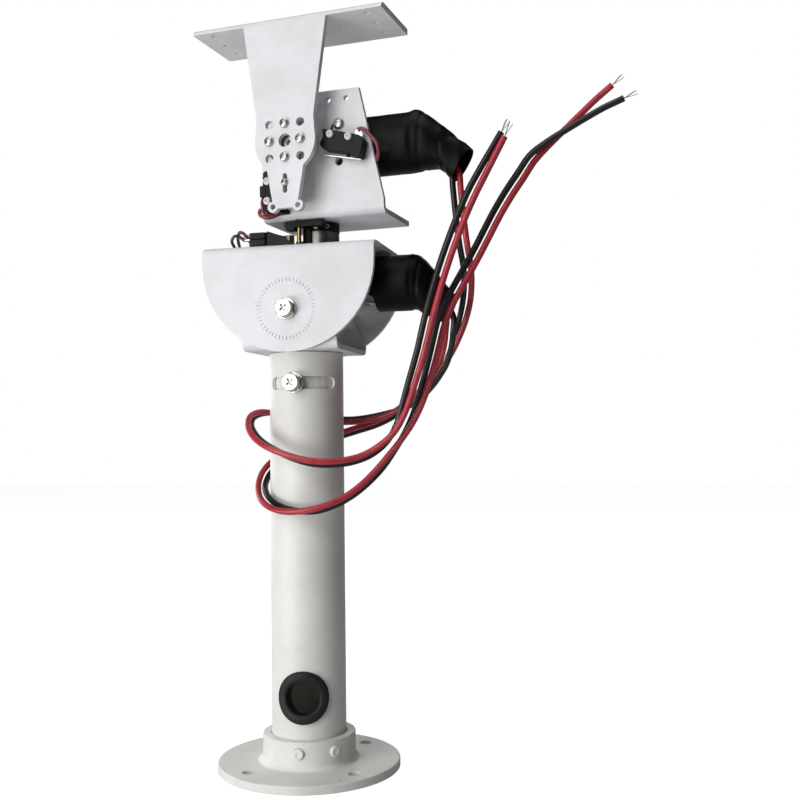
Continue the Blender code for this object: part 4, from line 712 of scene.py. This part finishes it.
def makeBase():
    rim, thick, outer, weld = base["rim"], base["thickness"], base["collarOuter"], base["weld"]
    profile = rounded([
        (0, 0), (rim, 0, 0.0004), (rim, thick, 0.0008), (outer + weld, thick, 0.0006),
        (outer + weld * 0.42, thick + weld * 0.45, 0.0009), (outer, thick + weld, 0.0006),
        (outer, base["collarTop"], 0.0007), (base["collarBore"], base["collarTop"], 0.0003),
        (base["collarBore"], thick), (0, thick)], 4)
    shape = spinShape(profile, 144)
    for vert in shape.verts:  # the weld bead runs a little unevenly
        reach = math.hypot(vert.co.x, vert.co.y)
        if outer + 1e-5 < reach < outer + weld * 1.2 and vert.co.z > thick - 1e-5:
            around = math.atan2(vert.co.y, vert.co.x)
            ripple = math.sin(around * 37) * 0.6 + math.sin(around * 11 + 1.3) * 0.4
            vert.co += Vector((vert.co.x, vert.co.y, 0)).normalized() * ripple * base["weldRipple"]
    holes = []
    for i in range(4):
        turn = math.radians(base["turn"] - 45 + 90 * i)
        at = (math.sin(turn) * base["holeCircle"], -math.cos(turn) * base["holeCircle"])
        holes.append(prismShape(polygon(base["holeRadius"], 40, 0, at), -0.002, thick + 0.002))
    shape = carved(shape, merged(holes))
    easeEdges(shape, 0.00035, 2, 60, lambda e: min(math.hypot(*v.co.xy) for v in e.verts) < 0.030)
    height = base["studHeight"]
    seats = [moved(prismShape(polygon(base["studRadius"] + 0.0003, 32), 0.0195, 0.0240),
                   turned(turn) @ facing(worldFrame, 0, 0, height)) for turn in base["studTurns"]]
    standFor("base_flange", carved(shape, merged(seats)), finish=finishes["baseCoat"], roundAbout=True)
    for node, turn in zip(("collar_screw_front", "collar_screw_side"), base["studTurns"]):
        radius, face = base["studRadius"] + 0.00015, outer + base["studProud"]
        profile = rounded([(0, face - 0.00025), (0.0009, face - 0.00020, 0.0006), (0.0013, face, 0.0006),
                           (radius, face - 0.0001, 0.0010), (radius, 0.0183), (0, 0.0183)], 5)
        stud = moved(spinShape(profile, 40), turned(turn) @ facing(worldFrame, 0, 0, height))
        standFor(node, stud, angle=50, finish=finishes["baseCoat"])


# ---- column tube, its slot and its cable grommet ----
column = {
    "radius": 0.018, "wall": 0.0015, "low": 0.0043, "top": 0.1995, "turn": 10.0,
    "slotHeight": 0.1847, "slotHalfWidth": 0.003, "slotHalfAngle": 57.5,
    "grommetHeight": 0.0365, "holeRadius": 0.010, "lip": 0.0125, "lipProud": 0.0021, "bore": 0.00775,
}


def makeColumn():
    radius, bore = column["radius"], column["radius"] - column["wall"]
    profile = rounded([(bore, column["low"], 0.0002), (radius, column["low"], 0.0002),
                       (radius, column["top"], 0.0004), (bore, column["top"], 0.0003)], 3, True)
    shape = ringOf(profile, 128)
    half = column["slotHalfWidth"]
    end = math.radians(column["slotHalfAngle"]) * radius - half
    arc = [math.radians(a) for a in range(-90, 91, 12)]
    slot = [(end + half * math.cos(t), half * math.sin(t)) for t in arc]
    slot += [(-x, -y) for x, y in slot]
    slot = [(x, y + column["slotHeight"]) for x, y in slot]
    hole = polygon(column["holeRadius"], 56, 0, (0, column["grommetHeight"]))
    cutters = [wrapRound(prismShape(outline, bore - 0.002, radius + 0.002), radius, column["turn"])
               for outline in (slot, hole)]
    shape = carved(shape, merged(cutters))
    easeEdges(shape, 0.0003, 2, 60)
    standFor("column_tube", shape, finish=finishes["baseCoat"], roundAbout=True)

    lip, neck, outside = column["lip"], column["holeRadius"] - 0.0003, radius + 0.0002
    proud, inside, hollow = outside + column["lipProud"], bore - 0.0003, column["bore"]
    profile = rounded([
        (hollow, inside - 0.0014, 0.0004), (hollow, proud - 0.0006, 0.0009), (hollow + 0.0019, proud, 0.0010),
        (lip - 0.0006, proud - 0.0003, 0.0011), (lip, outside, 0.0002), (neck, outside, 0.0002),
        (neck, inside, 0.0002), (lip - 0.001, inside, 0.0003), (lip - 0.0016, inside - 0.0014, 0.0004),
    ], 4, True)
    ring = moved(ringOf(profile, 96), Matrix.Translation((0, column["grommetHeight"], 0)))
    standFor("cable_grommet", wrapRound(ring, radius, column["turn"], 0.05), angle=60)


# ---- screws, bolts and washers ----
screws = {
    "headHeight": 0.0015, "recessDepth": 0.0009, "taper": 0.62,
    "kinds": (  # name's start, on the front, thread radius, turn step, recess share, recess arm
        ("hub_screw_", True, 0.0015, 33.0, 0.60, 0.00085),
        ("trigger_screw", True, 0.0009, 20.0, 0.56, 0.0007),
        ("tilt_gearbox_screw_", True, 0.0015, 25.0, 0.56, 0.00085),
        ("tilt_switch_", True, 0.0011, 48.0, 0.46, 0.0011),
        ("pan_gearbox_screw_", False, 0.0015, 40.0, 0.56, 0.00085),
    ),
}
bolts = {
    "acrossFlats": 0.008, "headHeight": 0.0035, "chamfer": 0.00085, "turn": 30.0,
    "recessWidth": 0.0046, "recessArm": 0.0011, "recessDepth": 0.0014, "crossTurn": 38.0,
    "plain": 0.004, "pitch": 0.0008, "threadDepth": 0.00035, "washerBore": 0.0028, "springTurn": 352.0,
}


def crossCutter(width, arm, top, depth, turn):  # a tapered cross, wider at the mouth
    half, side = width / 2, arm / 2
    outline = [(half, -side), (half, side), (side, side), (side, half), (-side, half), (-side, side),
               (-half, side), (-half, -side), (-side, -side), (-side, -half), (side, -half), (side, -side)]
    shape = prismShape(outline, top - depth, top + 0.001)
    for vert in shape.verts:
        if vert.co.z < top:
            vert.co.x *= screws["taper"]
            vert.co.y *= screws["taper"]
    return moved(shape, turned(turn))


def screwShape(radius, thread, length, turn, recess=0.56, arm=0.00085):
    height = screws["headHeight"]
    profile = [(0, height)] + [(radius * 0.96 * math.sin(t), height * (0.40 + 0.60 * math.cos(t)))
                               for t in (math.radians(a) for a in range(15, 91, 15))]
    profile += rounded([(radius * 0.96, height * 0.4), (radius, height * 0.3, 0.0001), (radius, 0, 0.0001),
                        (thread, 0), (thread, -length, 0.0002), (0, -length)], 2)[1:]
    cross = crossCutter(2 * radius * recess, arm, height, screws["recessDepth"], turn)
    return carved(spinShape(profile, 36), cross)


def makeScrews():
    for start, frontal, thread, turn, recess, arm in screws["kinds"]:
        seatFrame = headFrame if frontal else worldFrame
        for i, node in enumerate(n for n in nodes if n.startswith(start) and "screw" in n):
            low, high = localBox(node, seatFrame)
            middle, height = (low + high) / 2, screws["headHeight"]
            if frontal:
                seat, length = facing(headFrame, middle.x, low.y + height, middle.z), high.y - low.y - height
            else:
                seat = Matrix.Translation((middle.x, middle.y, high.z - height))
                length = high.z - low.z - height
            screw = screwShape((high.x - low.x) / 2, thread, length, turn * (i + 1), recess, arm)
            standFor(node, moved(screw, seat))


def hexHead(acrossFlats, high, bothEnds=False):  # the prism is longer, as shared faces upset the Boolean
    reach, flat, chamfer = acrossFlats / 2 / math.cos(math.pi / 6), acrossFlats / 2 * 0.96, bolts["chamfer"]
    head = prismShape(polygon(reach, 6, bolts["turn"]), -0.001, high + 0.001)
    profile = [(0, high), (flat, high), (reach * 1.02, high - chamfer)]
    if bothEnds:
        profile += [(reach * 1.02, chamfer), (flat, 0.0), (0, 0.0)]
    else:
        profile += [(reach * 1.02, 0.0), (0, 0.0)]
    return carved(head, spinShape(profile, 72), "INTERSECT")


def boltShape(thread, length):
    height, plain, pitch = bolts["headHeight"], bolts["plain"], bolts["pitch"]
    cross = crossCutter(bolts["recessWidth"], bolts["recessArm"], height, bolts["recessDepth"],
                        bolts["crossTurn"])
    head = easeEdges(carved(hexHead(bolts["acrossFlats"], height), cross), 0.00012, 2, 35)
    profile = [(0, -0.0001), (thread, -0.0001), (thread, -plain)]
    for i in range(int((length - plain - 0.001) / pitch)):  # rolled thread, drawn as rings of its pitch
        z = -plain - i * pitch
        profile += [(thread, z - 0.0001), (thread - bolts["threadDepth"], z - 0.0004), (thread, z - 0.0007)]
    profile += [(thread - 0.0004, -length), (0, -length)]
    return merged([head, spinShape(profile, 28)])


def ringShape(outer, bore, thickness):
    return ringOf(rounded([(bore, 0, 0.0001), (outer, 0, 0.00015), (outer, thickness, 0.0003),
                           (bore, thickness, 0.0001)], 3, True), 56)


def makeBolts():
    bore = bolts["washerBore"]
    for node in ("lock_bolt", "pivot_bolt"):
        low, high = localBox(node, worldFrame)
        seat = facing(worldFrame, 0, low.y + bolts["headHeight"], (low.z + high.z) / 2)
        standFor(node, moved(boltShape(0.0025, high.y - low.y - bolts["headHeight"]), seat))
    for node in ("lock_washer", "pivot_washer_front", "pivot_washer_rear", "lock_spring_washer", "pivot_nut"):
        low, high = localBox(node, worldFrame)
        outer, thick = (high.x - low.x) / 2, high.y - low.y
        seat = facing(worldFrame, 0, high.y, (low.z + high.z) / 2)
        if node == "pivot_nut":
            hole = prismShape(polygon(bore, 32), -0.001, 0.01)
            nut = carved(hexHead(bolts["acrossFlats"], thick, True), hole)
            standFor(node, moved(easeEdges(nut, 0.0001, 2), seat))
        elif node == "lock_spring_washer":
            split = spinShape([(bore, 0), (outer, 0), (outer, thick), (bore, thick)], 60, bolts["springTurn"])
            standFor(node, moved(easeEdges(split, 0.00015, 2, 60), seat @ turned(-60)))
        else:
            standFor(node, moved(ringShape(outer, bore, thick), seat))
    low, high = localBox("trigger_nut", headFrame)
    nut = carved(hexHead(0.0045, high.y - low.y, True), prismShape(polygon(0.0012, 24), -0.001, 0.01))
    standFor("trigger_nut", moved(nut, facing(headFrame, (low.x + high.x) / 2, high.y, (low.z + high.z) / 2)))


# ---- shrink sleeves over the motors ----
sleeves = {
    "wall": 0.0008, "start": 0.0291, "radius": 0.0134, "slack": 0.0004, "pressFrom": 0.45,
    "fold": (0.60, 0.022, 0.8), "kink": (0.86, 0.02, 0.6),  # two creases: place, width and depth
    "tilt_sleeve": {
        "at": (-0.0062, 0.0021, 0.2983), "frame": headFrame,
        "straight": 0.0272, "rise": 0.0023, "dent": 0.0007,
        "flap": [(0.0000, -0.0009, 0.0000, -0.0003, 0.0129), (0.0046, 0.0016, 0.0078, -0.0008, 0.0122),
                 (0.0156, 0.0107, 0.0112, 0.0004, 0.0098), (0.0266, 0.0203, 0.0168, 0.0060, 0.0072)],
    },
    "pan_sleeve": {
        "at": (0.0085, 0.0, 0.2323), "frame": worldFrame,
        "straight": 0.0180, "rise": 0.0002, "dent": 0.0006,
        "flap": [(0.0000, 0.0000, 0.0000, -0.0003, 0.0129), (0.0045, 0.0021, 0.0050, 0.0025, 0.0115),
                 (0.0115, 0.0106, 0.0095, 0.0052, 0.0085), (0.0200, 0.0211, 0.0139, 0.0073, 0.0065)],
    },
}


def between(rows, share):  # a smooth curve through rows of numbers
    reach = share * (len(rows) - 1)
    i = min(int(reach), len(rows) - 2)
    t = reach - i
    near = (rows[max(i - 1, 0)], rows[i], rows[i + 1], rows[min(i + 2, len(rows) - 1)])
    return [0.5 * (2 * q + (r - p) * t + (2 * p - 5 * q + 4 * r - s) * t * t
                   + (3 * q - p - 3 * r + s) * t ** 3)
            for p, q, r, s in zip(*near)]


def sleeveShape(spec):
    radius, start, straight = sleeves["radius"], sleeves["start"], spec["straight"]
    top, bottom, half = radius + spec["rise"], -radius, radius + sleeves["slack"]
    end = start + straight
    rows = [(x, top, x, bottom, half) for x in (start, start + straight * 0.45, end - straight * 0.15)]
    rows += [(end + upper, top - drop, end + lower, bottom - fall, wide)
             for upper, drop, lower, fall, wide in spec["flap"]]
    (foldAt, foldWide, foldDeep), (kinkAt, kinkWide, kinkDeep) = sleeves["fold"], sleeves["kink"]

    def placeAt(around, along):
        upperX, upperZ, lowerX, lowerZ, wide = between(rows, along)
        middle = Vector(((upperX + lowerX) / 2, 0, (upperZ + lowerZ) / 2))
        up = Vector((upperX, 0, upperZ)) - middle
        turn = math.tau * around
        pressed = max(0.0, (along - sleeves["pressFrom"]) / (1 - sleeves["pressFrom"]))
        side = math.copysign(abs(math.cos(turn)) ** (1 - 0.25 * pressed), math.cos(turn))
        point = middle + up * math.sin(turn) + Vector((0, wide * side, 0))
        wave = noise.noise(Vector((point.x * 150, point.y * 70, point.z * 70))) * (0.25 + pressed)
        crease = -math.exp(-((along - foldAt - 0.05 * math.sin(turn)) / foldWide) ** 2) * foldDeep
        crease -= math.exp(-((along - kinkAt + 0.04 * math.cos(turn * 2)) / kinkWide) ** 2) * kinkDeep
        inward = (middle - point).normalized()
        return point + inward * (abs(wave) * spec["dent"] - crease * spec["dent"] * 0.8)

    shape = bmesh.new()
    bmesh.ops.create_grid(shape, x_segments=64, y_segments=70, size=0.5)
    for vert in shape.verts:
        vert.co = placeAt(vert.co.x + 0.5, vert.co.y + 0.5)
    bmesh.ops.remove_doubles(shape, verts=shape.verts, dist=1e-6)
    bmesh.ops.recalc_face_normals(shape, faces=shape.faces)
    bmesh.ops.solidify(shape, geom=shape.faces[:], thickness=sleeves["wall"])
    return shape


def makeSleeves():
    for node in ("tilt_sleeve", "pan_sleeve"):
        spec = sleeves[node]
        standFor(node, moved(sleeveShape(spec), spec["frame"] @ Matrix.Translation(spec["at"])), angle=60)


# ---- microswitches ----
switches = {  # outlines in millimetres; a third value is the radius of a corner
    "low": 0.0003, "high": 0.0067, "split": 0.00024, "edge": 0.0003, "pitch": 0.0076, "bladeHalf": 0.0003,
    "right": (0.0251, 0.0014, -12.8), "left": (-0.01235, -0.0217, 90.0),  # from the tilt axis
    "panFlat": {"pan_switch_front": (-0.018, -0.0137), "pan_switch_rear": (-0.018, 0.0066)},
    "screwHoles": (-0.00475, 0.00475), "screwHole": 0.00145,
    "outline": [(-9.9, -5.4), (-8.9, -6.6), (8.2, -6.6), (8.4, -6.0), (9.9, -5.9), (9.9, 1.4), (8.8, 2.6),
                (-8.8, 2.6), (-9.9, 1.5)],
    "rightOutline": [(-9.44, 2.06, 0.6), (-8.2, -1.4, 1.2), (-9.41, -5.1, 1.2), (-6.9, -7.4, 1.2),
                     (5.8, -7.6, 0.8), (8.31, -7.9, 0.4), (9.1, -9.2, 0.6), (12.4, -8.7, 0.8),
                     (12.5, -0.5, 0.8), (10.1, 1.4, 1.0), (-1.6, 2.0, 1.0)],
    "rightLever": [(12.3, -9.5), (2.72, -9.62), (-8.2, -9.72)], "leverHalf": 0.0015,
    "rightBlade": [(6.9, 1.3), (10.3, 1.5), (10.3, 2.4, 0.6), (8.3, 5.0, 0.7), (6.1, 3.7, 0.6)],
    "rightSpike": [(-6.9, 1.7), (-5.3, 1.7), (-5.8, 4.0), (-6.1, 5.5), (-6.4, 4.0)],
    "leftCap": [(-2.7, 0.9, 0.5), (2.9, 0.9, 0.5), (2.9, 4.2, 0.7), (-2.7, 4.2, 0.7)],
    "boot": [(-11.2, 249.8), (2.2, 249.8), (2.2, 250.4, 0.2), (-2.8, 253.1, 1.5), (-4.6, 254.4, 1.5),
             (-10.9, 256.6, 0.6), (-11.2, 256.6)],
    "splice": [(-14.4, 265.9, 0.6), (-10.0, 265.9, 0.6), (-10.0, 269.5, 0.6), (-14.4, 269.5, 0.6)],
    "lug": (-0.0252, -0.0145, 0.2560), "lugRadius": 0.0013, "lugLean": 0.0004, "lugWire": 0.0006,
}


def switchBody(outline):  # two moulded halves with a parting groove between them
    low, high, gap, edge = switches["low"], switches["high"], switches["split"] / 2, switches["edge"]
    middle = (low + high) / 2
    core = prismShape([(x * 0.965, y * 0.95) for x, y in outline], low + 0.0005, high - 0.0005)
    return merged([easeEdges(prismShape(outline, low, middle - gap), edge, 3, 50), core,
                   easeEdges(prismShape(outline, middle + gap, high), edge, 3, 50)])


def blades(places, low, high, middle):  # solder terminals, rounded at the end, with an eye
    made = []
    for x in places:
        outline = rounded([(x - 0.0014, low), (x + 0.0014, low), (x + 0.0014, high, 0.0008),
                           (x - 0.0014, high, 0.0008)], 4, True)
        blade = prismShape(outline, middle - switches["bladeHalf"], middle + switches["bladeHalf"])
        made.append(carved(blade, prismShape(polygon(0.0006, 16, 0, (x, high - 0.0011)), 0, 0.01)))
    return merged(made)


def makeSwitches():
    def onTilt(across, up, turn):
        seat = facing(headFrame, head["tiltX"] + across, head["front"], head["tiltHeight"] + up)
        return seat @ turned(turn)

    right, left = onTilt(*switches["right"]), onTilt(*switches["left"])
    middle = (switches["low"] + switches["high"]) / 2
    seats = {"tilt_switch_right": right, "tilt_switch_left": left}
    for node, at in switches["panFlat"].items():
        seats[node] = Matrix.Translation((*at, head["cradleTop"])) @ turned(90)
    for node, seat in seats.items():
        plain = switches["rightOutline"] if node == "tilt_switch_right" else switches["outline"]
        body = switchBody(rounded(inMetres(plain), 4, True))
        if node.startswith("pan"):
            eyes = [prismShape(polygon(switches["screwHole"], 28, 0, (x, 0)), 0, 0.01)
                    for x in switches["screwHoles"]]
            body = carved(body, merged(eyes))
        standFor(node, moved(body, seat), angle=40)
        if node != "tilt_switch_right":
            terminals = blades((-switches["pitch"], 0, switches["pitch"]), 0.0022, 0.0054, middle)
            addTo(node, "terminals", moved(terminals, seat), "zinc_plate")

    half = switches["bladeHalf"]
    blade = carved(roundedPrism(switches["rightBlade"], middle - half, middle + half),
                   prismShape(polygon(0.00055, 16, 0, (0.0084, 0.0036)), 0, 0.01))
    addTo("tilt_switch_right", "terminal", moved(blade, right), "zinc_plate")
    spike = easeEdges(roundedPrism(switches["rightSpike"], middle - 2 * half, middle + 2 * half), 0.0001)
    nub = blockShape((0.0043, -0.0094, middle - 0.0009), (0.0060, -0.0078, middle + 0.0009))
    addTo("tilt_switch_right", "nubs", moved(merged([spike, easeEdges(nub, 0.0002)]), right), "switch_case")
    half = switches["leverHalf"]
    lever = prismShape(stripOutline(inMetres(switches["rightLever"]), 0.00045), middle - half, middle + half)
    standFor("tilt_switch_right_lever", moved(easeEdges(lever, 0.00008), right))
    cap = easeEdges(roundedPrism(switches["leftCap"], 0.0012, 0.0069), 0.0005, 3, 50)
    addTo("tilt_switch_left", "insulator", moved(cap, left), "switch_case")
    boot = easeEdges(roundedPrism(switches["boot"], 0.0203, 0.0236), 0.0004, 3, 50)  # over the front wires
    addTo("pan_switch_front", "boot", moved(boot, upright), "switch_case")
    splice = easeEdges(roundedPrism(switches["splice"], 0.0153, 0.0169), 0.0005, 3, 50)
    addTo("l_bracket", "splice", moved(splice, headFrame @ upright), "switch_case")
    reach, lean = switches["lugRadius"], switches["lugLean"]
    ring = [Vector(switches["lug"]) + Vector((reach * math.sin(t), lean * math.cos(t), reach * math.cos(t)))
            for t in (math.radians(a) for a in range(-200, 110, 12))]
    lug = tubeMesh("pan_switch_front_lug", ring, switches["lugWire"], 2)
    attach(addPiece("pan_switch_front_lug", lug, "zinc_plate"), nodes["pan_switch_front"]["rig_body"])


# ---- pan coupling, trigger block and gear motors ----
drive = {
    "couplingRadius": 0.0088, "couplingLow": 0.2504, "couplingHigh": 0.2630, "ringLow": 0.2587,
    "bore": 0.0033, "waist": 0.0010, "gap": 0.0003,
    "grubTurns": (6.0, 40.0, -38.0), "grubHeight": 0.2607, "grubRadius": 0.0011,
    # outline in millimetres of a black post that stands in for painted shade on the coupling's left side
    "post": [(-6.2, -9.2, 0.6), (-1.8, -9.9, 0.6), (-1.8, -8.5), (-6.0, -6.3)],
    "trigger": [(-13.6, 263.0, 1.2), (-13.6, 260.3, 1.4), (-12.9, 260.2), (-12.9, 258.5, 0.9),
                (-8.0, 258.5, 0.7), (-8.0, 259.9, 0.3), (6.7, 259.9, 0.8), (6.7, 263.0, 0.8)],
    "pinAt": (-0.0067, -0.0121), "pinHole": 0.00125,
    "boxLeft": -0.0175, "boxRight": 0.0285, "boxHalf": 0.016, "boxDeep": 0.022,
    "corner": 0.003, "lid": 0.0024, "boxBack": 0.0028, "boss": 0.0052,
    "faceHoles": [(0.022, 0.009), (0.022, -0.009), (-0.011, 0.009), (-0.011, -0.009)],
}


def makeCoupling():
    radius, bore = drive["couplingRadius"], drive["bore"]
    low, high = drive["couplingLow"], drive["couplingHigh"]
    split, waist, gap = drive["ringLow"], radius - drive["waist"], drive["gap"]
    body = rounded([(bore, low, 0.0002), (radius - 0.0002, low, 0.0004),
                    (radius - 0.0002, split - gap, 0.0002), (waist, split - gap),
                    (waist, split + gap), (bore, split + gap)], 3, True)
    standFor("pan_coupling", moved(ringOf(body, 80), headFrame))
    ring = rounded([(bore, split + 0.0004), (radius - 0.0011, split + 0.0004), (radius - 0.0011, split),
                    (radius, split, 0.0003), (radius, high, 0.0003), (bore, high)], 3, True)
    addTo("pan_coupling", "clampRing", moved(ringOf(ring, 80), headFrame), "switch_case")
    wide, hollow = drive["grubRadius"], drive["grubRadius"] / 2
    for i, turn in enumerate(drive["grubTurns"]):
        grub = spinShape(rounded([(0, 0), (wide, 0, 0.0002), (wide, 0.0012, 0.0002), (hollow, 0.0012),
                                  (hollow, 0.0006), (0, 0.0006)], 2), 24)
        seat = headFrame @ turned(turn) @ facing(worldFrame, 0, -radius + 0.0007, drive["grubHeight"])
        addTo("pan_coupling", f"grubScrew{i + 1}", moved(grub, seat), "zinc_plate")
    # a black post before the coupling's left side: a dark piece put where that side lies in shade, so painted
    # shade rather than a real stop
    post = easeEdges(roundedPrism(drive["post"], 0.2517, 0.2631, 3), 0.0002, 2, 50)
    addTo("pan_coupling", "shadeStandInPost", moved(post, headFrame), "switch_case")
    trigger = moved(easeEdges(roundedPrism(drive["trigger"], 0.0098, 0.0144, 5), 0.0004, 3, 50), upright)
    pinHole = prismShape(polygon(drive["pinHole"], 28, 0, drive["pinAt"]), 0.25, 0.27)
    standFor("pan_trigger_block", moved(carved(trigger, pinHole), headFrame))


def makeGearboxes():
    left, right, half, deep = drive["boxLeft"], drive["boxRight"], drive["boxHalf"], drive["boxDeep"]
    corner, back, boss = drive["corner"], drive["boxBack"], drive["boss"]
    outline = rounded([(left, -half, corner), (right, -half, corner), (right, half, corner),
                       (left, half, corner)], 8, True)
    seats = {"tilt_gearbox": facing(headFrame, head["tiltX"], head["front"] + back, head["tiltHeight"]),
             "pan_gearbox": Matrix.Translation((head["panX"], 0, head["cradleTop"] - back))}
    for node, seat in seats.items():
        cuts = [prismShape(polygon(0.0018, 24, 0, at), -0.008, 0.001) for at in drive["faceHoles"]]
        box = carved(prismShape(outline, -deep + 0.0026, 0), merged(cuts))
        lid = prismShape([(x * 0.995, y * 0.995) for x, y in outline], -deep, -deep + drive["lid"])
        core = prismShape([(x * 0.97, y * 0.965) for x, y in outline], -deep + 0.001, -deep + 0.004)
        hub = spinShape(rounded([(0, -deep - 0.0001), (boss, -deep - 0.0001, 0.0003), (boss, -deep + 0.001),
                                 (0, -deep + 0.001)], 3), 56)
        whole = merged([easeEdges(box, 0.0004, 3, 50), easeEdges(lid, 0.0004, 3, 50), core, hub])
        standFor(node, moved(whole, seat))
        for i, at in enumerate(drive["faceHoles"]):
            screw = moved(screwShape(0.0026, 0.0014, 0.003, 20 + 35 * i),
                          seat @ Matrix.Translation((*at, -deep)) @ Matrix.Rotation(math.pi, 4, "X"))
            addTo(node, f"lidScrew{i + 1}", screw, "zinc_plate")


# ---- sheet metal and the rest of the CAD nodes ----
sheetMetal = {"rosetteInner": 0.0115, "rosetteReach": 0.0155, "pivotHeight": 0.2188}
easedEdges = {  # edge radius in metres; a node that isn't named keeps the CAD mesh as it is
    "yoke": 0.00035, "cradle": 0.00035, "l_bracket": 0.00035, "tilt_arm_plate": 0.00035,
    "tilt_coupling": 0.0002, "tilt_shaft": 0.0001, "pan_shaft": 0.0001, "tilt_switch_left_lever": 0.0001,
}


def nearRosette(edge):  # the ring of teeth keeps its crisp edges
    middle = (edge.verts[0].co + edge.verts[1].co) / 2
    reach = math.hypot(middle.x, middle.z - sheetMetal["pivotHeight"])
    return sheetMetal["rosetteInner"] < reach < sheetMetal["rosetteReach"]


def dressAll():
    for node in nodes:
        if "_lead_" in node or node in dressed:
            continue
        if node in easedEdges:
            keep = nearRosette if node == "cradle" else None
            standFor(node, easeEdges(weldedCopy(node), easedEdges[node], 2, 35, keep))
        else:
            coat = finishes["baseCoat" if node == "swivel_spigot" else slotOf[node]]
            nodes[node].data.materials.clear()
            nodes[node].data.materials.append(coat)


makeBase()
makeColumn()
print("base and column made")
makeScrews()
makeBolts()
print("fasteners made")
makeSleeves()
makeSwitches()
makeCoupling()
makeGearboxes()
print("sleeves, switches and drive made")
dressAll()
print("CAD nodes dressed")


# ---- floor, light and background ----
studio = {
    "aim": (0.0, 0.0, 0.2), "floorHalf": 3.0, "floorHeight": -0.0002,
    "floorGlow": 0.15, "floorSeen": 0.97, "ambient": 0.0,  # glow for other rays, for the camera
    "panels": {  # place, width and height in metres, watts
        "keySoftbox": ((-0.50, -1.25, 0.52), (0.9, 1.5), 12.9),
        "topPanel": ((0.0, -0.2, 1.4), (0.9, 0.9), 6.6),
        "backPanel": ((-0.9, 0.7, 0.4), (0.8, 0.8), 4.6),
        "rearPanel": ((-0.2, 1.6, 0.7), (1.2, 1.2), 4.5),
        "lowPanel": ((-0.35, -0.40, 0.05), (0.4, 0.08), 1.2),
    },
}


def addPanel(name, at, size, power):
    data = bpy.data.lights.new(name, "AREA")
    data.shape = "RECTANGLE"
    data.size, data.size_y = size
    data.energy = power
    lamp = newObject(name, data)
    towards = Vector(studio["aim"]) - Vector(at)
    lamp.matrix_world = Matrix.Translation(at) @ towards.to_track_quat("-Z", "Y").to_matrix().to_4x4()


def makeStudio():
    for name, (at, size, power) in studio["panels"].items():
        addPanel(name, at, size, power)
    world = bpy.data.worlds.new("paleStudio")
    bpy.context.scene.world = world
    world.use_nodes = True
    tree = world.node_tree
    tree.nodes.clear()
    ray = addNode(tree, "ShaderNodeLightPath")
    dim = addNode(tree, "ShaderNodeBackground", {"Color": (1, 1, 1, 1), "Strength": studio["ambient"]})
    pale = addNode(tree, "ShaderNodeBackground", {"Color": (1, 1, 1, 1), "Strength": 1.0})
    either = addNode(tree, "ShaderNodeMixShader", None,
                     {0: ray.outputs["Is Camera Ray"], 1: dim.outputs[0], 2: pale.outputs[0]})
    addNode(tree, "ShaderNodeOutputWorld", None, {"Surface": either.outputs[0]})

    shape = bmesh.new()
    bmesh.ops.create_grid(shape, x_segments=1, y_segments=1, size=studio["floorHalf"])
    bmesh.ops.translate(shape, verts=shape.verts, vec=(0, 0, studio["floorHeight"]))
    mesh = meshOf(shape, "paleFloor")
    floor = newObject("paleFloor", mesh)
    skin = startMaterial("paleFloor", {
        "Base Color": (0.42, 0.42, 0.42, 1), "Roughness": 0.9, "Specular IOR Level": 0.0,
        "Emission Color": (1, 1, 1, 1)})
    ray = addNode(skin["tree"], "ShaderNodeLightPath")
    glow = addNode(skin["tree"], "ShaderNodeMapRange",
                   {"To Min": studio["floorGlow"], "To Max": studio["floorSeen"]},
                   {"Value": ray.outputs["Is Camera Ray"]})
    skin["tree"].links.new(glow.outputs[0], skin["shader"].inputs["Emission Strength"])
    mesh.materials.append(skin["material"])
    bpy.context.scene.view_settings.view_transform = "Standard"


makeStudio()
print("studio lit")
